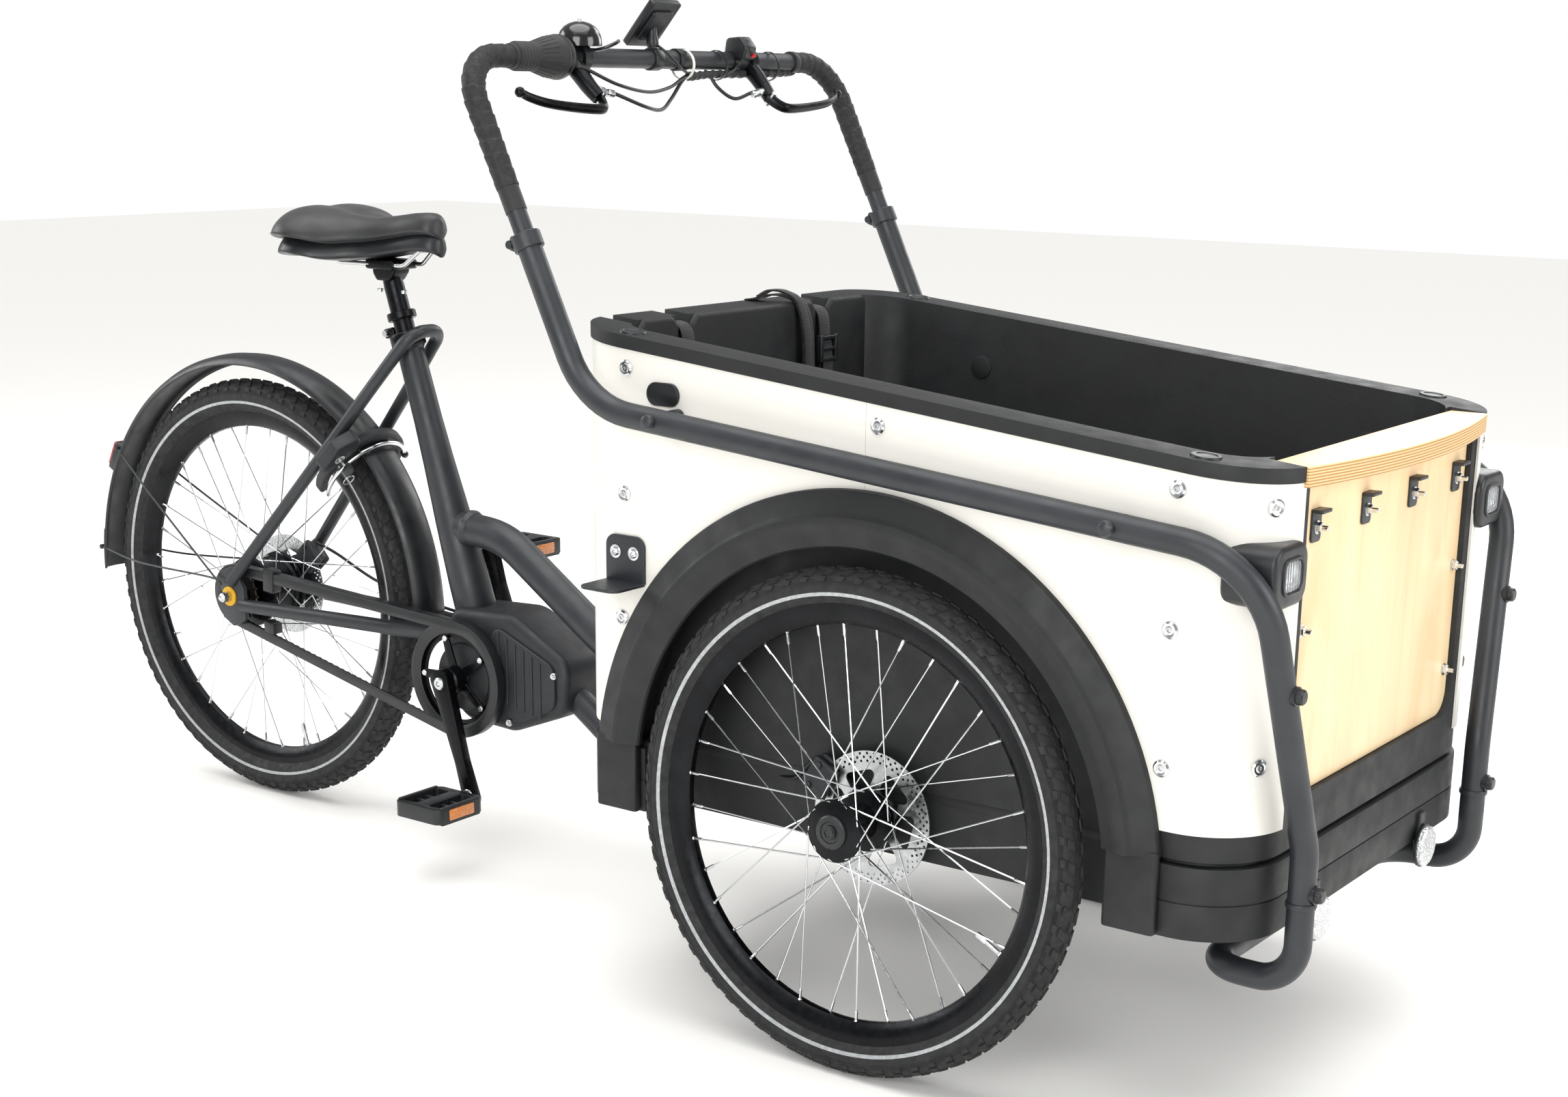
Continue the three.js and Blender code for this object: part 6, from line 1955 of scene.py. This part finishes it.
moved(rib, Matrix.Translation(-at(0, 0, 0)))
ribs = copies("grip_ribs", rib, 24, places=rib_places)
pod_ring = turned("pod_ring", [(26, 76), (27.4, 77), (27.4, 82), (26, 83)], ABS, at(BAR_TOP_X, -287, BAR_Z),
    (0, 1, 0), 64, closed=True)
give(gather("twist_grip_rubber", [grip, ribs, pod_ring]), "twist_grip", "grip_rubber", "twist_grip")

for side, suffix in ((-1, "right"), (1, "left")):
    route = flowing([(858, side * 176, 1106), (872, side * 184, 1095), (880, side * 197, 1090.5),
        (879, side * 240, 1092),
                     (876, side * 290, 1097), (870, side * 318, 1104), (866, side * 330, 1110)], 8)

    def blade_section(i, t):
        wide = 7.5 - 2.6 * t
        return [(u * 0.62 * wide / 6, v * wide / 6) for u, v in circle(6, 20)]
    blade = sweep("blade", route, blade_section, ANODISED, 50)
    ball = turned("ball", [(0, -6.5), (4, -5.2), (6.2, -2), (6.5, 0), (6.2, 2), (4, 5.2), (0, 6.5)],
        ANODISED, at(866, side * 331, 1110),
                  (0, 0, 1), 24, 60)
    pivot = turned("pivot", square(0, -10, 3.6, 10), ZINC, at(862, side * 178, 1103), (-0.67, 0, -0.74), 20)
    give(gather(f"brake_lever_{suffix}_blade", [blade, ball, pivot]), f"brake_lever_{suffix}",
        "black_alloy", f"brake_lever_{suffix}")

    clamp = turned("clamp", [(12.4, -7), (17, -7), (18, -6), (18, 6), (17, 7), (12.4, 7)], ANODISED,
        at(BAR_TOP_X, side * 184, BAR_Z),
                   (0, 1, 0), 40, closed=True)
    horn = sweep("horn", flowing([(822, side * 184, 1143), (836, side * 184, 1129), (848, side * 183, 1116),
        (860, side * 180, 1104)], 6),
                 lambda i, t: [(u * (1.05 - 0.15 * t), v * (1.15 - 0.25 * t)) for u, v in circle(10.5, 24)],
                 ANODISED, 50)
    cap = soften(slab("cap", rounded([(824, side * 184 - 9), (856, side * 184 - 8), (856, side * 184 + 8),
        (824, side * 184 + 9)], 4, 4),
                      -4, 4, ANODISED), 2.5, 3)
    moved(cap, Matrix.Translation(at(840, 0, 1131)) @ Matrix.Rotation(math.radians(45), 4,
        "Y") @ Matrix.Translation(-at(840, 0, 0)))
    barrel = turned("barrel", [(0, 0), (5.4, 0), (5.8, 1), (5.8, 9), (4, 10), (4, 16), (5, 17), (5, 25),
        (3.4, 27), (0, 27)], ZINC,
                    at(852, side * 172, 1112), (0.15, -side * 0.97, -0.15), 20)
    perch = gather("perch_parts", [clamp, horn, cap, barrel])
    give(perch, "handlebar", "black_alloy")
    perch.name = f"brake_perch_{suffix}"

bell_dome = turned("bell_dome", [(0, 30), (6, 29.4), (13, 27.4), (19.5, 23.6), (24.4, 18), (27.2, 11),
    (28, 4), (28, 0), (27, 0),
                                 (26.4, 4), (0, 6)], GLOSS, at(BAR_TOP_X, -163, 1166), (0, 0, 1), 64, 40)
bell_nut = turned("bell_nut", [(0, 33), (2.4, 32.6), (3.4, 31), (3.4, 29), (0, 29)], ZINC,
    at(BAR_TOP_X, -163, 1166), (0, 0, 1), 20)
bell_clamp = turned("bell_clamp", [(12.4, -7), (16.6, -7), (17.4, -6), (17.4, 6), (16.6, 7), (12.4, 7)],
    ABS, at(BAR_TOP_X, -163, BAR_Z),
                    (0, 1, 0), 40, closed=True)
bell_stem = turned("bell_stem", square(0, 5, 7.4, 20), ABS, at(BAR_TOP_X, -163, 1152), (0, 0, 1), 24)
give(gather("bell_unit", [bell_dome, bell_nut, bell_clamp, bell_stem]), "handlebar", "black_alloy", "bell")
thumb_lever = sweep("bell_thumb_lever", flowing([(842, -163, 1161), (856, -163, 1163.5), (866, -155, 1169),
    (868, -150, 1172)], 6),
                    lambda i, t: [(u * 1.3, v * 0.8) for u, v in circle(3, 12)], GLOSS, 50)
give(thumb_lever, "bell_lever", "black_alloy", "bell_lever")


def display_glass():
    made, tree, shader, place = new_material("black display glass", "#07080a", 0.05, ior=1.52,
        Coat_Weight=1.0, Coat_Roughness=0.02)
    smear = node(tree, "ShaderNodeTexNoise", {"Vector": place, "Scale": 1000 / 22, "Detail": 4})
    vary_roughness(tree, place, shader, 0.04, 0.12, 18)
    relief(tree, shader, smear.outputs["Fac"], 0.01, 0.2)
    return made


GLASS = display_glass()


def tablet(name, half_y, half_z, low_x, high_x, radius, skin):
    outline = rounded(square(-half_y, -half_z, half_y, half_z), radius, 6)
    made = slab(name, outline, low_x, high_x, skin, "yz")
    moved(made, Matrix.Translation(-at(0, 0, 0)))
    soften(made, 1.6, 3)
    return moved(made, Matrix.Translation(at(BAR_TOP_X - 1, -18,
        1197.4)) @ Matrix.Rotation(math.radians(42), 4, "Y"))


screen_body = tablet("screen_body", 29.5, 35.5, -4.6, 4.6, 4, ABS)
screen_glass = tablet("screen_glass", 27, 33, -5.2, -4.4, 3, GLASS)
screen_back = tablet("screen_back", 20, 24, 3.6, 8.4, 6, ABS)
holder = turned("holder", [(0, 14.6), (7, 14.6), (8, 18), (8, 24), (6, 30), (6, 46), (0, 47)], ABS,
    at(BAR_TOP_X, -18, BAR_Z),
                (-0.02, 0, 1), 24)
give(gather("display_unit", [screen_body, screen_glass, screen_back, holder]), "display", "moulded_black",
    "display")

mounts_on_bar = []
for y, width in ((-18, 9), (36, 11), (152, 8)):
    mounts_on_bar.append(turned("bar_clamp", [(12.4, -width), (14, -width), (14.4, -width + 1),
        (14.4, width - 1), (14, width),
                                              (12.4, width)], ABS, at(BAR_TOP_X, y, BAR_Z), (0, 1, 0), 40,
                                              closed=True))
switch_body = soften(slab("switch", rounded([(808, 1158), (842, 1152), (848, 1170), (836, 1184),
    (812, 1182)], 6, 5), 142, 166, ABS, "xz"), 3, 3)
mounts_on_bar.append(switch_body)
for z, x in ((1176, 842), (1166, 848)):
    mounts_on_bar.append(turned("button", [(0, 3.4), (3.6, 3), (4.6, 1.6), (4.6, -3), (0, -3)], SOFT_RUBBER,
        at(x - 3, 154, z), (0.9, 0, 0.3), 20))
lamp_button = turned("red_button", [(0, 2.6), (2.2, 2.4), (2.8, 1), (2.8, -3), (0, -3)], RED,
    at(846, 160, 1159), (1, 0, 0), 16)
give(gather("switch_and_clamps", [*mounts_on_bar, lamp_button]), "handlebar", "moulded_black")


# ---- control cables ----
# Brake cables, the shifter cable and the electric leads meet in a spiral-wrapped loom that
# follows the underside of the bar into the left-hand tape.
cables = [
    pipe("brake_cable", flowing([(850, -182, 1115), (856, -150, 1110), (866, -96, 1093), (850, -44, 1089),
    (834, -4, 1102),
                                 (826, 26, 1122), (820, 50, 1135)], 12), 2.4, JACKET, 12),
    pipe("shift_cable", flowing([(824, -194, 1142), (842, -186, 1139), (857, -140, 1120), (850, -70, 1111),
    (837, -10, 1117),
                                 (827, 30, 1129), (820, 62, 1137)], 12), 2.2, JACKET, 12),
    pipe("display_lead", flowing([(818, -18, 1172), (834, -12, 1160), (838, 8, 1144), (830, 34, 1136),
    (822, 58, 1136)], 10), 1.7, JACKET, 10),
    pipe("left_brake_cable", flowing([(850, 182, 1115), (851, 150, 1111), (846, 118, 1103), (833, 98, 1117),
    (821, 92, 1137)], 12), 2.4,
         JACKET, 12),
    pipe("switch_lead", flowing([(824, 152, 1154), (832, 140, 1143), (828, 128, 1136), (823, 120, 1134)],
    10), 1.5, JACKET, 10),
]
loom_route = flowing([(824, 44, 1130), (822, 90, 1134), (820, 150, 1135), (818, 220, 1136),
    (815, 280, 1138.5), (814, 296, 1141)], 40)


def spiral_section(i, t):
    points = []
    for a in [2 * math.pi * k / 20 for k in range(20)]:
        r = 4.6 + 1.1 * max(0, math.cos(a - i * 0.55))
        points.append((r * math.cos(a), r * math.sin(a)))
    return points


cables.append(sweep("loom", loom_route, spiral_section, SOFT_RUBBER, 30))


def white_nylon():
    made, tree, shader, place = new_material("white nylon cable tie", "#e6e4de", 0.4)
    mottle(tree, place, shader, "#dcdad3", "#eeece7", 3)
    return made


TIE = white_nylon()
for y, skin in ((40, TIE), (112, JACKET), (230, JACKET)):
    cables.append(turned("tie", square(18.6, -2, 19.8, 2), skin, at(BAR_TOP_X + 3.5, y, 1146), (0, 1, 0),
        32, closed=True))
give(gather("control_cables", cables), "handlebar", "moulded_black")


# ---- brake calipers and running leads ----
def caliper(centre, turn, y):
    """A small cast caliper straddling a disc, drawn at the top of the disc and then turned round."""
    z0 = 74
    parts = []
    for name, half_length, near, far, low, rounding, steps in (
        ("half", 22, -13, -3.4, -14, 5, 4), ("half", 22, 3.4, 13, -14, 5, 4),
        ("bridge", 18, -8, 8, 12, 3, 3),
    ):
        corners = [Vector((a, b, c)) * MM for a in (-half_length, half_length)
                   for b in (y + near, y + far) for c in (z0 + low, z0 + 24)]
        parts.append(soften(shape(name, corners, BLOCK_FACES, NYLON), rounding, steps))
    for x in (-15, 15):
        parts.append(turned("bolt", [(0, -16), (3.4, -16), (4.6, -15), (4.6, -12), (0, -12)], ZINC,
            Vector((x, y, z0 + 12)) * MM, (0, 1, 0), 18))
    made = gather("caliper", parts)
    return moved(made, Matrix.Translation(centre) @ Matrix.Rotation(turn, 4, "Y"))


rear_caliper = caliper(wheel_centre, math.radians(48), 47)
rear_cable = pipe("rear_brake_cable", flowing([(70, 47, 410), (110, 52, 396), (200, 54, 362),
    (320, 50, 345), (420, 40, 338), (460, 34, 330)], 8),
                  2.4, JACKET, 10)
give(gather("rear_caliper_and_cable", [rear_caliper, rear_cable]), "rear_frame", "moulded_black")
front_calipers = []
for side in (-1, 1):
    centre = at(WHEEL_X, side * 350, 300.2)
    made = caliper(Vector((0, 0, 0)), math.radians(-62), -side * 41)
    moved(made, Matrix.Translation(centre) @ Matrix.Rotation(side * CAMBER, 4, "X"))
    arm = pipe("caliper_arm", [at(WHEEL_X, side * 292, 300), at(WHEEL_X - 66, side * 292, 342)], 6, POWDER,
        14)
    hose = pipe("hose", flowing([(WHEEL_X - 80, side * 300, 352), (WHEEL_X - 96, side * 297, 346),
        (WHEEL_X - 120, side * 294, 322),
                                 (WHEEL_X - 150, side * 286, 316)], 8), 2.4, JACKET, 10)
    front_calipers += [made, arm, hose]
give(gather("front_calipers", front_calipers), "front_chassis", "moulded_black")


# ---- size ----
low, high = cad_bounds
